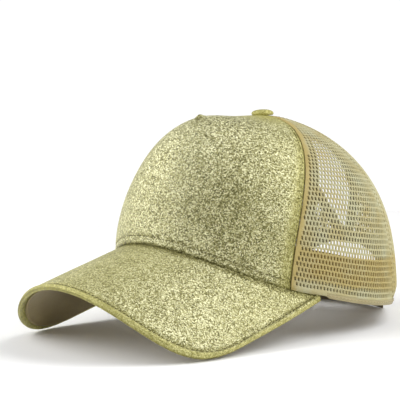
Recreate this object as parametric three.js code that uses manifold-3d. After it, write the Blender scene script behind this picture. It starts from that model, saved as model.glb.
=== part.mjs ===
// A ponytail baseball cap at rest on a table: a stiff glitter front panel and curved peak,
// four net panels, a taped ponytail opening and a taped back arch closed by a two-piece strap.
// Millimetres. The wearer faces -Y, the wearer's left is +X, and the table is z = 0.
// Directions round the crown are angles from the front, positive towards the wearer's left.
import * as THREE from "three";
import { mergeVertices } from "three/addons/utils/BufferGeometryUtils.js";
import Module from "manifold-3d";

const wasm = await Module();
wasm.setup();

const degrees = Math.PI / 180;

// Crown
const crownHalfWidth = 92.5;
const crownFront = 104; // button to the front of the rim, seen from above
const crownBack = 76.5; // button to the back of the rim
const crownHeight = 136.4; // table to the crown's top
const apexHole = 3; // radius of the hole that the button's post passes through

// Cloth walls, and the gaps between sewn pieces
const frontWall = 2;
const netWall = 1;
const seamTapeWall = 0.8;
const hemTapeWall = 0.8;
const liningWall = 0.8;
const liningSlack = 0.8; // how far the lining hangs from the front panel
const liningAboveBand = 2;
const sweatbandWall = 1.2;
const strapWall = 1.2;
const bindingWall = 2.2;
const bindingProud = 0.5; // how far a binding stands out of the net
const clearance = 0.35;

// Seams, as directions at the rim and at the button, and tapes
const frontSeam = { foot: 59.4 * degrees, head: 90 * degrees, bend: 1.45 };
const backSeam = { foot: 115 * degrees, head: 112 * degrees, bend: 1 };
const seamTapeWidth = 9;
const seamTapeStop = 19; // the tapes end this far from the button's axis
const hemTapeHeight = 10;
const sweatbandHeight = 28;

// Peak
const peakReach = 66.6; // ahead of the crown
const peakHalfWidth = 89;
const peakShoulder = 15; // how far the widest place lies behind the crown's front
const peakEnd = 70 * degrees;
const peakWall = 3.2;
const peakSlope = 15.6 * degrees; // fall of the crest towards its tip
const peakTipWidth = 1.2; // how far each end of the peak stands out of the rim
const undersideWall = 0.8;
const undersideInset = 4;
const undersideEnd = 60 * degrees;

// Ponytail opening and back arch, measured on the cloth up from the rim at the back
const tapeWidth = 7.5;
const archHalfWidth = 38;
const archTop = 46.5;
const archStraight = 18;
const crossAboveArch = 0.6; // from the arch's tape to the point of the ponytail opening
const ponytailHalfWidth = 20;
const ponytailShoulder = 88;
const ponytailWidest = 102;
const ponytailTop = 132;

// Strap and button
const strapWidth = 20;
const strapLift = 4; // the strap's lower edge over the level of the peak's low ends
const strapEndGap = 4; // free end of the outer strap to the arch's edge
const strapTuck = 6; // length of each strap under the arch's tape
const strapOverlap = 46; // length of the inner strap under the outer one
const buttonRadius = 7.4;
const buttonSide = 1.4;
const buttonDome = 4.2;
const buttonPost = 1.8;
const buttonBackRadius = 5;
const buttonBackWall = 1;

// Powers of the crown's outline: over its top, and up its wall
const crownCurves = {
  front: { top: 2.98, wall: 1.22 },
  side: { top: 1.59, wall: 2.85 },
  back: { top: 1.64, wall: 3.06 },
};
// Directions in which the outline is fuller: the dart squares the front panel's brow
const swells = [
  { direction: 0, spread: 28 * degrees, top: 2.47, wall: 0 },
  { direction: 90 * degrees, spread: 25 * degrees, top: 0.08, wall: 0.33 },
];

// The rim behind the peak: height as a share of its height at the peak's end
const rimFall = [
  { along: 0, height: 1 },
  { along: 0.18, height: 0.7 },
  { along: 0.36, height: 0.57 },
  { along: 0.6, height: 0.44 },
  { along: 0.75, height: 0.25 },
  { along: 0.88, height: 0.07 },
  { along: 1, height: 0 },
];

// Peak: spans and depth of its arch as shares of the crown's half width, powers of its outline
const peakArch = { halfSpan: 1.341, depth: 1.968 };
const peakOutline = { side: 1.98, tip: 3.72, turn: 0.75 };

// Net: gaps across a side and a back panel and up each, a gap's height as a share of its
// pitch, and the least net between a gap and a taped opening
const netGaps = { side: 4, back: 6, up: 7, height: 0.6, edge: 2.5 };

// Finishes
const cloth = (color, roughness = 0.85, metalness = 0) =>
  new THREE.MeshStandardMaterial({ color, roughness, metalness });
const glitter = cloth(0xbdb88a, 0.45, 0.35);
const net = cloth(0xc9c0a0, 0.75);
const tape = cloth(0xa1996b);
const greyTape = cloth(0xa29972);
const band = cloth(0xa99969);
const lining = cloth(0x79716a);
const underside = cloth(0xb5a888);
const binding = cloth(0x948c79, 0.7);
const webbing = cloth(0x5f5743, 0.8);

// Closed solids

// A sheet with two faces: point(u, v, face) gives faces 0 and 1 over the unit square.
// A cell whose open(i, j) is true is a gap through the sheet.
function sheet({ columns, levels, point, looped = false, open = () => false }) {
  const rows = levels.length - 1;
  const across = looped ? columns : columns + 1;
  const positions = [];
  for (const face of [0, 1])
    for (const level of levels)
      for (let i = 0; i < across; i++)
        positions.push(...point(i / columns, level, face));
  const at = (i, j, face) => (face * (rows + 1) + j) * across + (i % across);
  const isSolid = (i, j) => {
    const inside = j >= 0 && j < rows && (looped || (i >= 0 && i < columns));
    return inside && !open((i + columns) % columns, j);
  };
  const index = [];
  const quad = (a, b, c, d) => index.push(a, b, c, a, c, d);
  const wallBetween = (a, b) => quad([...a, 0], [...a, 1], [...b, 1], [...b, 0]);
  const corner = (place) => (Array.isArray(place) ? at(...place) : place);
  for (let j = 0; j < rows; j++)
    for (let i = 0; i < columns; i++) {
      if (!isSolid(i, j)) continue;
      const [a, b, c, d] = [[i, j], [i + 1, j], [i + 1, j + 1], [i, j + 1]];
      quad([...a, 0], [...b, 0], [...c, 0], [...d, 0]);
      quad([...a, 1], [...d, 1], [...c, 1], [...b, 1]);
      if (!isSolid(i, j - 1)) wallBetween(a, b);
      if (!isSolid(i + 1, j)) wallBetween(b, c);
      if (!isSolid(i, j + 1)) wallBetween(c, d);
      if (!isSolid(i - 1, j)) wallBetween(d, a);
    }
  return facingOut(positions, index.map(corner));
}

const evenLevels = (rows) => Array.from({ length: rows + 1 }, (_, j) => j / rows);

// Turns the faces round if the closed surface is inside out.
function facingOut(positions, index) {
  const [a, b, c] = [new THREE.Vector3(), new THREE.Vector3(), new THREE.Vector3()];
  let volume = 0;
  for (let i = 0; i < index.length; i += 3) {
    a.fromArray(positions, 3 * index[i]);
    b.fromArray(positions, 3 * index[i + 1]);
    c.fromArray(positions, 3 * index[i + 2]);
    volume += a.dot(b.cross(c));
  }
  const geometry = new THREE.BufferGeometry();
  geometry.setAttribute("position", new THREE.Float32BufferAttribute(positions, 3));
  geometry.setIndex(volume < 0 ? index.slice().reverse() : index);
  return geometry;
}

function toSolid(geometry) {
  const bare = new THREE.BufferGeometry();
  bare.setAttribute("position", geometry.getAttribute("position").clone());
  bare.setIndex(geometry.index);
  const merged = mergeVertices(bare);
  return new wasm.Manifold(
    new wasm.Mesh({
      numProp: 3,
      vertProperties: merged.getAttribute("position").array,
      triVerts: new Uint32Array(merged.index.array),
    }),
  );
}

function cutAway(geometry, cutters) {
  let solid = toSolid(geometry);
  for (const cutter of cutters) solid = solid.subtract(toSolid(cutter));
  const mesh = solid.getMesh();
  const cut = new THREE.BufferGeometry();
  cut.setAttribute("position", new THREE.BufferAttribute(mesh.vertProperties, 3));
  cut.setIndex(new THREE.BufferAttribute(mesh.triVerts, 1));
  return cut;
}

// Curve through the rows of a table with columns along and height
function heightThrough(table, along) {
  const last = table.length - 2;
  const next = table.findIndex((row) => row.along > along);
  const i = next < 0 ? last : Math.max(0, next - 1);
  const row = (k) => table[Math.min(last + 1, Math.max(0, k))];
  const slope = (k) =>
    (row(k + 1).height - row(k - 1).height) / (row(k + 1).along - row(k - 1).along);
  const span = row(i + 1).along - row(i).along;
  const t = (along - row(i).along) / span;
  const start = row(i).height * (2 * t ** 3 - 3 * t ** 2 + 1);
  const end = row(i + 1).height * (3 * t ** 2 - 2 * t ** 3);
  const leaving = span * slope(i) * (t ** 3 - 2 * t ** 2 + t);
  const arriving = span * slope(i + 1) * (t ** 3 - t ** 2);
  return start + end + leaving + arriving;
}

// Rim seen from above

function rimPlan(angle, depth = 0) {
  const reach = Math.cos(angle) > 0 ? crownFront : crownBack;
  const plan = new THREE.Vector2(crownHalfWidth * Math.sin(angle), -reach * Math.cos(angle));
  const outward = new THREE.Vector2(reach * Math.sin(angle), -crownHalfWidth * Math.cos(angle));
  return plan.addScaledVector(outward.normalize(), -depth);
}

// Peak surface: an arched sheet whose crest falls towards the tip, with heights from the crest

function peakRise(x, y) {
  const halfSpan = peakArch.halfSpan * crownHalfWidth;
  const depth = peakArch.depth * crownHalfWidth;
  const crest = Math.tan(peakSlope) * (y + crownFront);
  return crest - depth * (1 - Math.sqrt(Math.max(0, 1 - (x / halfSpan) ** 2)));
}

function peakNormal(x, y) {
  const step = 0.5;
  const alongX = (peakRise(x + step, y) - peakRise(x - step, y)) / (2 * step);
  const alongY = (peakRise(x, y + step) - peakRise(x, y - step)) / (2 * step);
  return new THREE.Vector3(-alongX, -alongY, 1).normalize();
}

// Outline in plan, from one end of the peak (across -1) round its tip to the other (across 1)
function peakEdge(across) {
  const fromTip = Math.abs(across);
  const widest = new THREE.Vector2(peakHalfWidth, peakShoulder - crownFront);
  const point = new THREE.Vector2();
  if (fromTip < peakOutline.turn) {
    const lean = (fromTip / peakOutline.turn) * (Math.PI / 2);
    point.x = widest.x * Math.sin(lean) ** (2 / peakOutline.side);
    point.y = widest.y - (peakReach + peakShoulder) * Math.cos(lean) ** (2 / peakOutline.tip);
  } else {
    const end = rimPlan(peakEnd, -peakTipWidth);
    const middle = new THREE.Vector2(widest.x, (widest.y + end.y) / 2);
    const run = new THREE.QuadraticBezierCurve(widest, middle, end);
    point.copy(run.getPoint((fromTip - peakOutline.turn) / (1 - peakOutline.turn)));
  }
  point.x *= Math.sign(across);
  return point;
}

// A layer of the peak. Its inner edge is upright against the crown, its outer edge square.
function peakPoint(across, out, depth, inset) {
  const inner = rimPlan(across * peakEnd, frontWall);
  const edge = peakEdge(across);
  const width = inner.distanceTo(edge);
  const plan = inner.lerp(edge, THREE.MathUtils.mapLinear(out, 0, 1, inset, width - inset) / width);
  const normal = peakNormal(plan.x, plan.y);
  const through = new THREE.Vector3(0, 0, 1).lerp(normal, out).normalize();
  return new THREE.Vector3(plan.x, plan.y, peakRise(plan.x, plan.y))
    .addScaledVector(through, -depth / through.dot(normal));
}

// Lower outline of the peak's edge, and the crest height at which its lowest places are at 0
const edgeSteps = 200;
const lowerEdge = Array.from({ length: edgeSteps + 1 }, (_, i) =>
  peakPoint((2 * i) / edgeSteps - 1, 1, peakWall, 0),
);
const crestHeight = -Math.min(...lowerEdge.map((point) => point.z));

// Crown surface

const fromFront = (angle) => Math.PI - Math.abs(Math.PI - Math.abs(angle));

// Height of a cloth's lower edge at a depth inside the crown: on the peak, then down to the back
function rimHeight(angle, depth) {
  const turn = Math.min(fromFront(angle), peakEnd);
  const plan = rimPlan(turn, depth);
  const gap = clearance / peakNormal(plan.x, plan.y).z;
  const onPeak = crestHeight + peakRise(plan.x, plan.y) + gap;
  const along = (fromFront(angle) - turn) / (Math.PI - peakEnd);
  return along > 0 ? onPeak * heightThrough(rimFall, along) : onPeak;
}

function crownPowers(angle) {
  const front = Math.max(Math.cos(angle), 0) ** 2;
  const back = Math.max(-Math.cos(angle), 0) ** 2;
  const blend = (power) =>
    front * crownCurves.front[power] +
    back * crownCurves.back[power] +
    (1 - front - back) * crownCurves.side[power];
  const powers = { top: blend("top"), wall: blend("wall") };
  for (const swell of swells) {
    const share = Math.exp(-(((fromFront(angle) - swell.direction) / swell.spread) ** 2));
    powers.top += share * swell.top;
    powers.wall += share * swell.wall;
  }
  return powers;
}

// The line up the cloth at one direction: radius as a share of the rim's, and height
function meridian(angle) {
  const { top, wall } = crownPowers(angle);
  const foot = rimHeight(angle, 0);
  const reach = rimPlan(angle).length();
  const steps = 60;
  const crowding = 1.4; // closer steps near the rim, where the wall is steep
  const points = [];
  let length = 0;
  for (let i = 0; i <= steps; i++) {
    const lean = (Math.PI / 2) * (i / steps) ** crowding;
    const radius = Math.max(0, Math.cos(lean)) ** (2 / top);
    const height = foot + (crownHeight - foot) * Math.sin(lean) ** (2 / wall);
    const previous = points[i - 1];
    if (previous)
      length += Math.hypot((radius - previous.radius) * reach, height - previous.height);
    points.push({ radius, height, length });
  }
  return points;
}

const clothLength = (angle) => meridian(angle).at(-1).length;

// Point on the crown's outer face, at a share of the way up the cloth from rim to button
function crownFace(angle, share) {
  const line = meridian(angle);
  const goal = share * line.at(-1).length;
  const next = Math.max(1, line.findIndex((point) => point.length >= goal));
  const [a, b] = [line[next - 1], line[next]];
  const part = (goal - a.length) / (b.length - a.length);
  const plan = rimPlan(angle).multiplyScalar(THREE.MathUtils.lerp(a.radius, b.radius, part));
  return new THREE.Vector3(plan.x, plan.y, THREE.MathUtils.lerp(a.height, b.height, part));
}

function crownNormal(angle, share) {
  const turn = 0.01;
  const climb = 0.02;
  const low = THREE.MathUtils.clamp(share - climb, 0, 1 - climb);
  const high = THREE.MathUtils.clamp(share + climb, climb, 1 - apexHole / clothLength(angle));
  const around = crownFace(angle + turn, share).sub(crownFace(angle - turn, share));
  const up = crownFace(angle, high).sub(crownFace(angle, Math.min(low, high - climb)));
  return around.cross(up).normalize();
}

// Point at a depth inside the crown. The lowest cloth is lifted to clear the peak below it.
function crownPoint(angle, share, depth) {
  const liftEnds = 8; // height above the rim at which the lift is gone
  const point = crownFace(angle, share).addScaledVector(crownNormal(angle, share), -depth);
  const fade = Math.max(0, 1 - (share * clothLength(angle)) / liftEnds);
  point.z += fade * (rimHeight(angle, depth) - rimHeight(angle, 0));
  return point;
}

const seamAngle = (seam, share) => seam.foot + (seam.head - seam.foot) * share ** seam.bend;

const backLength = clothLength(Math.PI);

// Angle taken by a width of cloth round the crown
function widthAngle(width, angle, share) {
  const reach = Math.cos(angle) > 0 ? crownFront : crownBack;
  const girth = Math.hypot(crownHalfWidth * Math.cos(angle), reach * Math.sin(angle));
  const plan = crownFace(angle, Math.min(share, 1 - apexHole / backLength));
  const radius = Math.hypot(plan.x, plan.y) / rimPlan(angle).length();
  return width / (girth * radius);
}

function beside(seam, width) {
  return (share) => {
    const angle = seamAngle(seam, share);
    return angle + widthAngle(width, angle, share);
  };
}

const aboveRim = (height) => (angle) => height / clothLength(angle);
const belowButton = (distance) => (angle) => 1 - distance / clothLength(angle);

// A piece of cloth between two directions and two heights. Side -1 mirrors it to the right.
function crownCloth({ from, to, low, high, depth, wall, columns, levels, open, side = 1 }) {
  const point = (u, v, face) => {
    const guess = THREE.MathUtils.lerp(from(v), to(v), u);
    const share = THREE.MathUtils.lerp(low(guess), high(guess), v);
    const angle = THREE.MathUtils.lerp(from(share), to(share), u);
    const place = crownPoint(angle, share, depth + face * wall);
    return [side * place.x, place.y, place.z];
  };
  return sheet({ columns, levels, point, open });
}

// Back of the crown, addressed by width across and height up the cloth

function backAngle(across, share) {
  const passes = 5;
  let angle = Math.PI;
  for (let pass = 0; pass < passes; pass++) {
    const face = crownFace(angle, share);
    const radius = Math.hypot(face.x, face.y) / rimPlan(angle).length();
    const sine = THREE.MathUtils.clamp(Math.abs(across) / (crownHalfWidth * radius), 0, 1);
    angle = Math.PI - Math.asin(sine);
  }
  return angle;
}

function backPoint(across, height, depth) {
  const share = THREE.MathUtils.clamp(height / backLength, 0, 1 - apexHole / backLength);
  const point = crownPoint(backAngle(across, share), share, depth);
  point.x *= Math.sign(across);
  point.z += Math.min(0, height);
  return point;
}

const ponytailTip = archTop + tapeWidth + crossAboveArch;
const ponytailOutline = new THREE.Path()
  .moveTo(0, ponytailTip)
  .quadraticCurveTo(ponytailHalfWidth, ponytailShoulder, ponytailHalfWidth, ponytailWidest)
  .absellipse(0, ponytailWidest, ponytailHalfWidth, ponytailTop - ponytailWidest, 0, Math.PI)
  .quadraticCurveTo(-ponytailHalfWidth, ponytailShoulder, 0, ponytailTip);
const archOutline = (foot) =>
  new THREE.Path()
    .moveTo(archHalfWidth, foot)
    .lineTo(archHalfWidth, archStraight)
    .absellipse(0, archStraight, archHalfWidth, archTop - archStraight, 0, Math.PI)
    .lineTo(-archHalfWidth, foot);

// An outline's points moved outwards by a distance, with mitred corners
function spread(points, distance, closed) {
  const count = points.length;
  const neighbour = (k) => (closed ? points[(k + count) % count] : points[k]);
  const outward = (a, b) => new THREE.Vector2(b.y - a.y, a.x - b.x).normalize();
  return points.map((point, k) => {
    const before = neighbour(k - 1);
    const after = neighbour(k + 1);
    const first = before ? outward(before, point) : outward(point, after);
    const second = after ? outward(point, after) : first;
    const middle = first.clone().add(second).normalize();
    return point.clone().addScaledVector(middle, distance / middle.dot(first));
  });
}

const ponytailSteps = 44;
const archSteps = 28;
const ponytailPoints = ponytailOutline.getSpacedPoints(ponytailSteps).slice(0, -1);
const archPoints = archOutline(0).getSpacedPoints(archSteps);

// A tape of even width that follows an outline on the back of the crown
function bindingTape(points, closed) {
  const outer = spread(points, tapeWidth, closed);
  const columns = closed ? points.length : points.length - 1;
  const point = (u, v, face) => {
    const k = Math.round(u * columns);
    const place = points[k].clone().lerp(outer[k], v);
    return backPoint(place.x, place.y, face * bindingWall - bindingProud).toArray();
  };
  return sheet({ columns, levels: [0, 1], point, looped: closed });
}

// The space that a taped opening takes out of the net, with the gap round its tape
function openingCutter(points, closed) {
  const outer = spread(points, tapeWidth + clearance, closed);
  const half = Math.floor(outer.length / 2);
  const above = 4;
  const below = 7;
  const sliver = 0.01; // half width left at the outline's ends, so that no face is empty
  const point = (u, v, face) => {
    const place = outer[Math.round(v * half)];
    const across = (2 * u - 1) * Math.max(sliver, Math.abs(place.x));
    return backPoint(across, place.y, face * (above + below) - above).toArray();
  };
  return sheet({ columns: 8, levels: evenLevels(half), point });
}

const ponytailCutter = openingCutter(ponytailPoints, true);
const belowRim = 5;
const archCutter = openingCutter(archOutline(-belowRim).getSpacedPoints(archSteps), false);

// Pieces

const cap = new THREE.Group();

function add(name, geometry, material) {
  geometry.computeVertexNormals();
  const mesh = new THREE.Mesh(geometry, material);
  mesh.name = name;
  cap.add(mesh);
}

const sides = [
  { word: "left", side: 1 },
  { word: "right", side: -1 },
];

const halfGap = clearance / 2;
const top = belowButton(apexHole);
const rim = () => 0;

// Front panel and its lining
const frontEdge = beside(frontSeam, -halfGap);
add(
  "front_panel",
  crownCloth({
    from: (share) => -frontEdge(share),
    to: frontEdge,
    low: rim,
    high: top,
    depth: 0,
    wall: frontWall,
    columns: 24,
    levels: evenLevels(18),
  }),
  glitter,
);
add(
  "front_lining",
  crownCloth({
    from: (share) => -frontEdge(share),
    to: frontEdge,
    low: aboveRim(sweatbandHeight + liningAboveBand),
    high: belowButton(buttonBackRadius + 2 * clearance),
    depth: frontWall + liningSlack,
    wall: liningWall,
    columns: 24,
    levels: evenLevels(12),
  }),
  lining,
);

// Peak
const peakLayer = (depth, wall, end, inset, columns, rows) =>
  sheet({
    columns,
    levels: evenLevels(rows),
    point: (u, v, face) => {
      const across = ((2 * u - 1) * end) / peakEnd;
      const place = peakPoint(across, v, depth + face * wall, inset);
      place.z += crestHeight;
      return place.toArray();
    },
  });
add("peak", peakLayer(0, peakWall, peakEnd, 0, 36, 8), glitter);
add(
  "peak_underside",
  peakLayer(peakWall + clearance, undersideWall, undersideEnd, undersideInset, 30, 5),
  underside,
);

// Net panels, open in rows of gaps
function netLevels() {
  const pitch = 1 / netGaps.up;
  const rib = (pitch * (1 - netGaps.height)) / 2;
  const levels = [0];
  for (let k = 0; k < netGaps.up; k++) levels.push(k * pitch + rib, (k + 1) * pitch - rib);
  return levels.concat(1);
}

const inGap = (i, j) => i % 2 === 1 && j % 2 === 1;

// True where a gap would come too near a taped opening
const netMargin = tapeWidth + netGaps.edge;
const solidNet = [spread(ponytailPoints, netMargin, true), spread(archPoints, netMargin, false)];
const nearOpening = (place) => solidNet.some((points) => insideOutline(points, place));

function insideOutline(points, place) {
  let inside = false;
  points.forEach((a, k) => {
    const b = points[(k + 1) % points.length];
    const crosses = a.y > place.y !== b.y > place.y;
    if (crosses && place.x < a.x + ((b.x - a.x) * (place.y - a.y)) / (b.y - a.y)) inside = !inside;
  });
  return inside;
}

function netPanel(from, to, gaps, side, cutters) {
  const levels = netLevels();
  const columns = 2 * gaps + 1;
  const cornersClear = (i, j) =>
    [i, i + 1].every((column) =>
      [levels[j], levels[j + 1]].every((share) => {
        const angle = THREE.MathUtils.lerp(from(share), to(share), column / columns);
        const place = crownFace(angle, share);
        return !nearOpening(new THREE.Vector2(place.x, share * backLength));
      }),
    );
  const lattice = crownCloth({
    from,
    to,
    low: rim,
    high: top,
    depth: 0,
    wall: netWall,
    columns,
    levels,
    open: (i, j) => inGap(i, j) && (cutters.length === 0 || cornersClear(i, j)),
    side,
  });
  return cutters.length > 0 ? cutAway(lattice, cutters) : lattice;
}

const sideEdges = [beside(frontSeam, halfGap), beside(backSeam, -halfGap)];
const centreBack = (share) => Math.PI - widthAngle(halfGap, Math.PI, share);
const backEdges = [beside(backSeam, halfGap), centreBack];
const openings = [ponytailCutter, archCutter];
for (const { word, side } of sides) {
  add(`side_mesh_${word}`, netPanel(...sideEdges, netGaps.side, side, []), net);
  add(`back_mesh_${word}`, netPanel(...backEdges, netGaps.back, side, openings), net);
}

// Tapes inside the net, and the sweatband inside them
const underNet = netWall + clearance;
const tapeStart = beside(frontSeam, clearance);
const tapeEnd = beside(frontSeam, clearance + seamTapeWidth);
const hemStart = beside(frontSeam, 2 * clearance + seamTapeWidth);
const archEdge = (share) => backAngle(archHalfWidth + tapeWidth + clearance, share);
for (const { word, side } of sides) {
  add(
    `front_seam_tape_${word}`,
    crownCloth({
      from: tapeStart,
      to: tapeEnd,
      low: rim,
      high: belowButton(seamTapeStop),
      depth: underNet,
      wall: seamTapeWall,
      columns: 1,
      levels: evenLevels(18),
      side,
    }),
    tape,
  );
  add(
    `hem_tape_${word}`,
    crownCloth({
      from: hemStart,
      to: archEdge,
      low: rim,
      high: aboveRim(hemTapeHeight),
      depth: underNet,
      wall: hemTapeWall,
      columns: 16,
      levels: [0, 1],
      side,
    }),
    greyTape,
  );
}
add(
  "sweatband",
  crownCloth({
    from: (share) => -archEdge(share),
    to: archEdge,
    low: rim,
    high: aboveRim(sweatbandHeight),
    depth: underNet + seamTapeWall + clearance,
    wall: sweatbandWall,
    columns: 48,
    levels: evenLevels(3),
  }),
  band,
);

// Tapes round the openings
add("ponytail_binding", cutAway(bindingTape(ponytailPoints, true), [archCutter]), binding);
add("arch_binding", bindingTape(archPoints, false), binding);

// Straps: upright bands behind the arch's tape whose lower edges stand on the table

// The cap leans back until the peak's lowest places and the strap's lower edge are level
const restSlopes = lowerEdge.map(
  (point) => (strapLift - crestHeight - point.z) / (crownBack - point.y),
);
const restLean = Math.atan(Math.max(...restSlopes));
const tableHeight = (y) => strapLift + (y - crownBack) * Math.tan(restLean);

function strapPoint(across, height, depth) {
  const foot = backAngle(across, 0);
  const above = height + tableHeight(rimPlan(foot).y);
  const share = Math.max(0, above - rimHeight(foot, 0)) / clothLength(foot);
  const point = crownFace(backAngle(across, share), share);
  const inward = rimPlan(foot, depth).sub(rimPlan(foot));
  const place = point.setX(point.x + inward.x).setY(point.y + inward.y);
  return [Math.sign(across) * place.x, place.y, height + tableHeight(place.y)];
}

function strap(from, to, depth, columns) {
  return sheet({
    columns,
    levels: [0, 1],
    point: (u, v, face) =>
      strapPoint(THREE.MathUtils.lerp(from, to, u), v * strapWidth, depth + face * strapWall),
  });
}

const outerStrapDepth = bindingWall - bindingProud + clearance;
const innerStrapDepth = outerStrapDepth + strapWall + clearance;
const strapRoot = archHalfWidth + strapTuck;
const strapFree = strapEndGap - archHalfWidth;
add("strap_outer", strap(strapFree, strapRoot, outerStrapDepth, 14), webbing);
add("strap_inner", strap(-strapRoot, strapFree + strapOverlap, innerStrapDepth, 10), webbing);

// Button, with its post through the panels and the disc that holds it inside
function buttonProfile() {
  const backTop = -frontWall - clearance;
  const backBottom = backTop - buttonBackWall;
  const points = [
    new THREE.Vector2(0, backBottom),
    new THREE.Vector2(buttonBackRadius, backBottom),
    new THREE.Vector2(buttonBackRadius, backTop),
    new THREE.Vector2(buttonPost, backTop),
    new THREE.Vector2(buttonPost, clearance),
    new THREE.Vector2(buttonRadius, clearance),
  ];
  const steps = 5;
  for (let i = 0; i <= steps; i++) {
    const lean = (i / steps) * (Math.PI / 2);
    const rise = clearance + buttonSide + (buttonDome - buttonSide) * Math.sin(lean);
    points.push(new THREE.Vector2(buttonRadius * Math.cos(lean), rise));
  }
  points.at(-1).x = 0;
  return points;
}
const button = new THREE.LatheGeometry(buttonProfile(), 20);
button.rotateX(Math.PI / 2);
button.translate(0, 0, crownHeight);
add("button", button, glitter);

// Stand the cap on the table, over the middle of its own outline
cap.rotation.x = -restLean;
cap.updateMatrixWorld(true);
const outline = new THREE.Box3().setFromObject(cap, true);
const centre = outline.getCenter(new THREE.Vector3());
cap.position.set(-centre.x, -centre.y, -outline.min.z);

export default cap;
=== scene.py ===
"""Looks of a ponytail baseball cap at rest on a pale floor.

A stiff glitter front panel and a curved glitter peak, a fine net at the sides and back, a taped
ponytail opening, a taped back arch closed by a two-piece strap, and a covered button.

The wearer faces -Y and the wearer's left is +X. Sizes are in millimetres until they are placed.
A direction round the crown is an angle from the front, positive towards the wearer's left, and
a share is how far up the cloth a place lies, from 0 at the rim to 1 at the button. Depths are
measured inwards from the outer face.
"""

import logging
from collections.abc import Callable, Sequence
from dataclasses import dataclass, field
from enum import Enum
from math import atan, atan2, ceil, cos, exp, hypot, pi, radians, sin, tan

import bmesh
import bpy
import numpy as np
from mathutils import Matrix, Vector


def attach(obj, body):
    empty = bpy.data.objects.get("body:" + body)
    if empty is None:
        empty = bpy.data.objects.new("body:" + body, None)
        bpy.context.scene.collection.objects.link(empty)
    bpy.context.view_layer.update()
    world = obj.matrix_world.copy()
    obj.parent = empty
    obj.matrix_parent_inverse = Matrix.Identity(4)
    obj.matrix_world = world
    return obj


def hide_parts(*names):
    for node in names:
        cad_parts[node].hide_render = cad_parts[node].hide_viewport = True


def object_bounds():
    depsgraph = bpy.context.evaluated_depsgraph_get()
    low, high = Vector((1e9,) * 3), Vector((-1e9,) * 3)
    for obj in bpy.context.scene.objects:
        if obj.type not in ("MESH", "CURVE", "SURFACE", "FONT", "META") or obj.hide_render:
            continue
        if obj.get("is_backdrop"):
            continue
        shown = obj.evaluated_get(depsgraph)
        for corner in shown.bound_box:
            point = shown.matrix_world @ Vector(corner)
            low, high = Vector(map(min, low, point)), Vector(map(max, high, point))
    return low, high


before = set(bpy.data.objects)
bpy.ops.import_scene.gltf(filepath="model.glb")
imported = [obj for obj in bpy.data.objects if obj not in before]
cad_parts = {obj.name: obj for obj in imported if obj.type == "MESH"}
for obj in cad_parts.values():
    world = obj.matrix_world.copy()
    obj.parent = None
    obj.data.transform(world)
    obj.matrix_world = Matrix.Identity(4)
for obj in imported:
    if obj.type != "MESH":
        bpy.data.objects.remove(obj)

MM = 0.001
TINY = 1e-12
LOG = logging.getLogger("ponytail_cap")
Array = np.ndarray
Place = Callable[[Array, Array], Array]
Line = Callable[[Array], Array]
Colour = tuple[float, float, float]
Socket = bpy.types.NodeSocket


class Side(Enum):
    """A side of the cap, as the wearer has it."""

    LEFT = 1
    RIGHT = -1

    @property
    def word(self) -> str:
        """The side's name in lower case."""
        return self.name.lower()

    def mirrored(self, vectors: Array) -> Array:
        """Vectors made for the left side, as they are on this side."""
        return vectors * [self.value, 1, 1]


def smooth_step(low: float, high: float, value: Array) -> Array:
    """Rises smoothly from 0 at low to 1 at high."""
    t = np.clip((value - low) / (high - low), 0, 1)
    return t * t * (3 - 2 * t)


def bump(centre: float, spread: float, value: Array) -> Array:
    """A soft hump of height 1 about a centre."""
    return np.exp(-(((value - centre) / spread) ** 2))


def unit(vectors: Array) -> Array:
    """Vectors scaled to length 1, along the last axis."""
    return vectors / np.maximum(np.linalg.norm(vectors, axis=-1, keepdims=True), TINY)


def run_length(points: Array) -> Array:
    """The length of a path up to each of its points, which are its rows."""
    steps = np.linalg.norm(np.diff(points, axis=-2), axis=-1)
    return np.concatenate([np.zeros_like(steps[..., :1]), steps.cumsum(axis=-1)], axis=-1)


def curve(t: Array, start: float, middle: float, end: float) -> Array:
    """A curve from start to end, drawn towards a middle."""
    return (1 - t) ** 2 * start + 2 * t * (1 - t) * middle + t**2 * end


@dataclass(frozen=True)
class Swell:
    """A direction in which the crown is fuller, and what it adds to the outline's powers."""

    direction: float
    spread: float
    top: float
    wall: float


@dataclass(frozen=True)
class Spot:
    """A soft spot on the crown: its strength, where it lies, and its reach round and up."""

    strength: float
    angle: float
    reach: float
    share: float
    rise: float

    def at(self, angle: Array, share: Array) -> Array:
        """How much of the spot each place has."""
        round_it = bump(self.angle, self.reach, angle)
        return self.strength * round_it * bump(self.share, self.rise, share)


@dataclass(frozen=True)
class Seam:
    """A seam that runs from the rim to the button, in radians from the front."""

    foot: float
    head: float
    bend: float

    def angle(self, share: Array) -> Array:
        """The seam's direction at each share of the way up."""
        return self.foot + (self.head - self.foot) * np.asarray(share, float) ** self.bend


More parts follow.
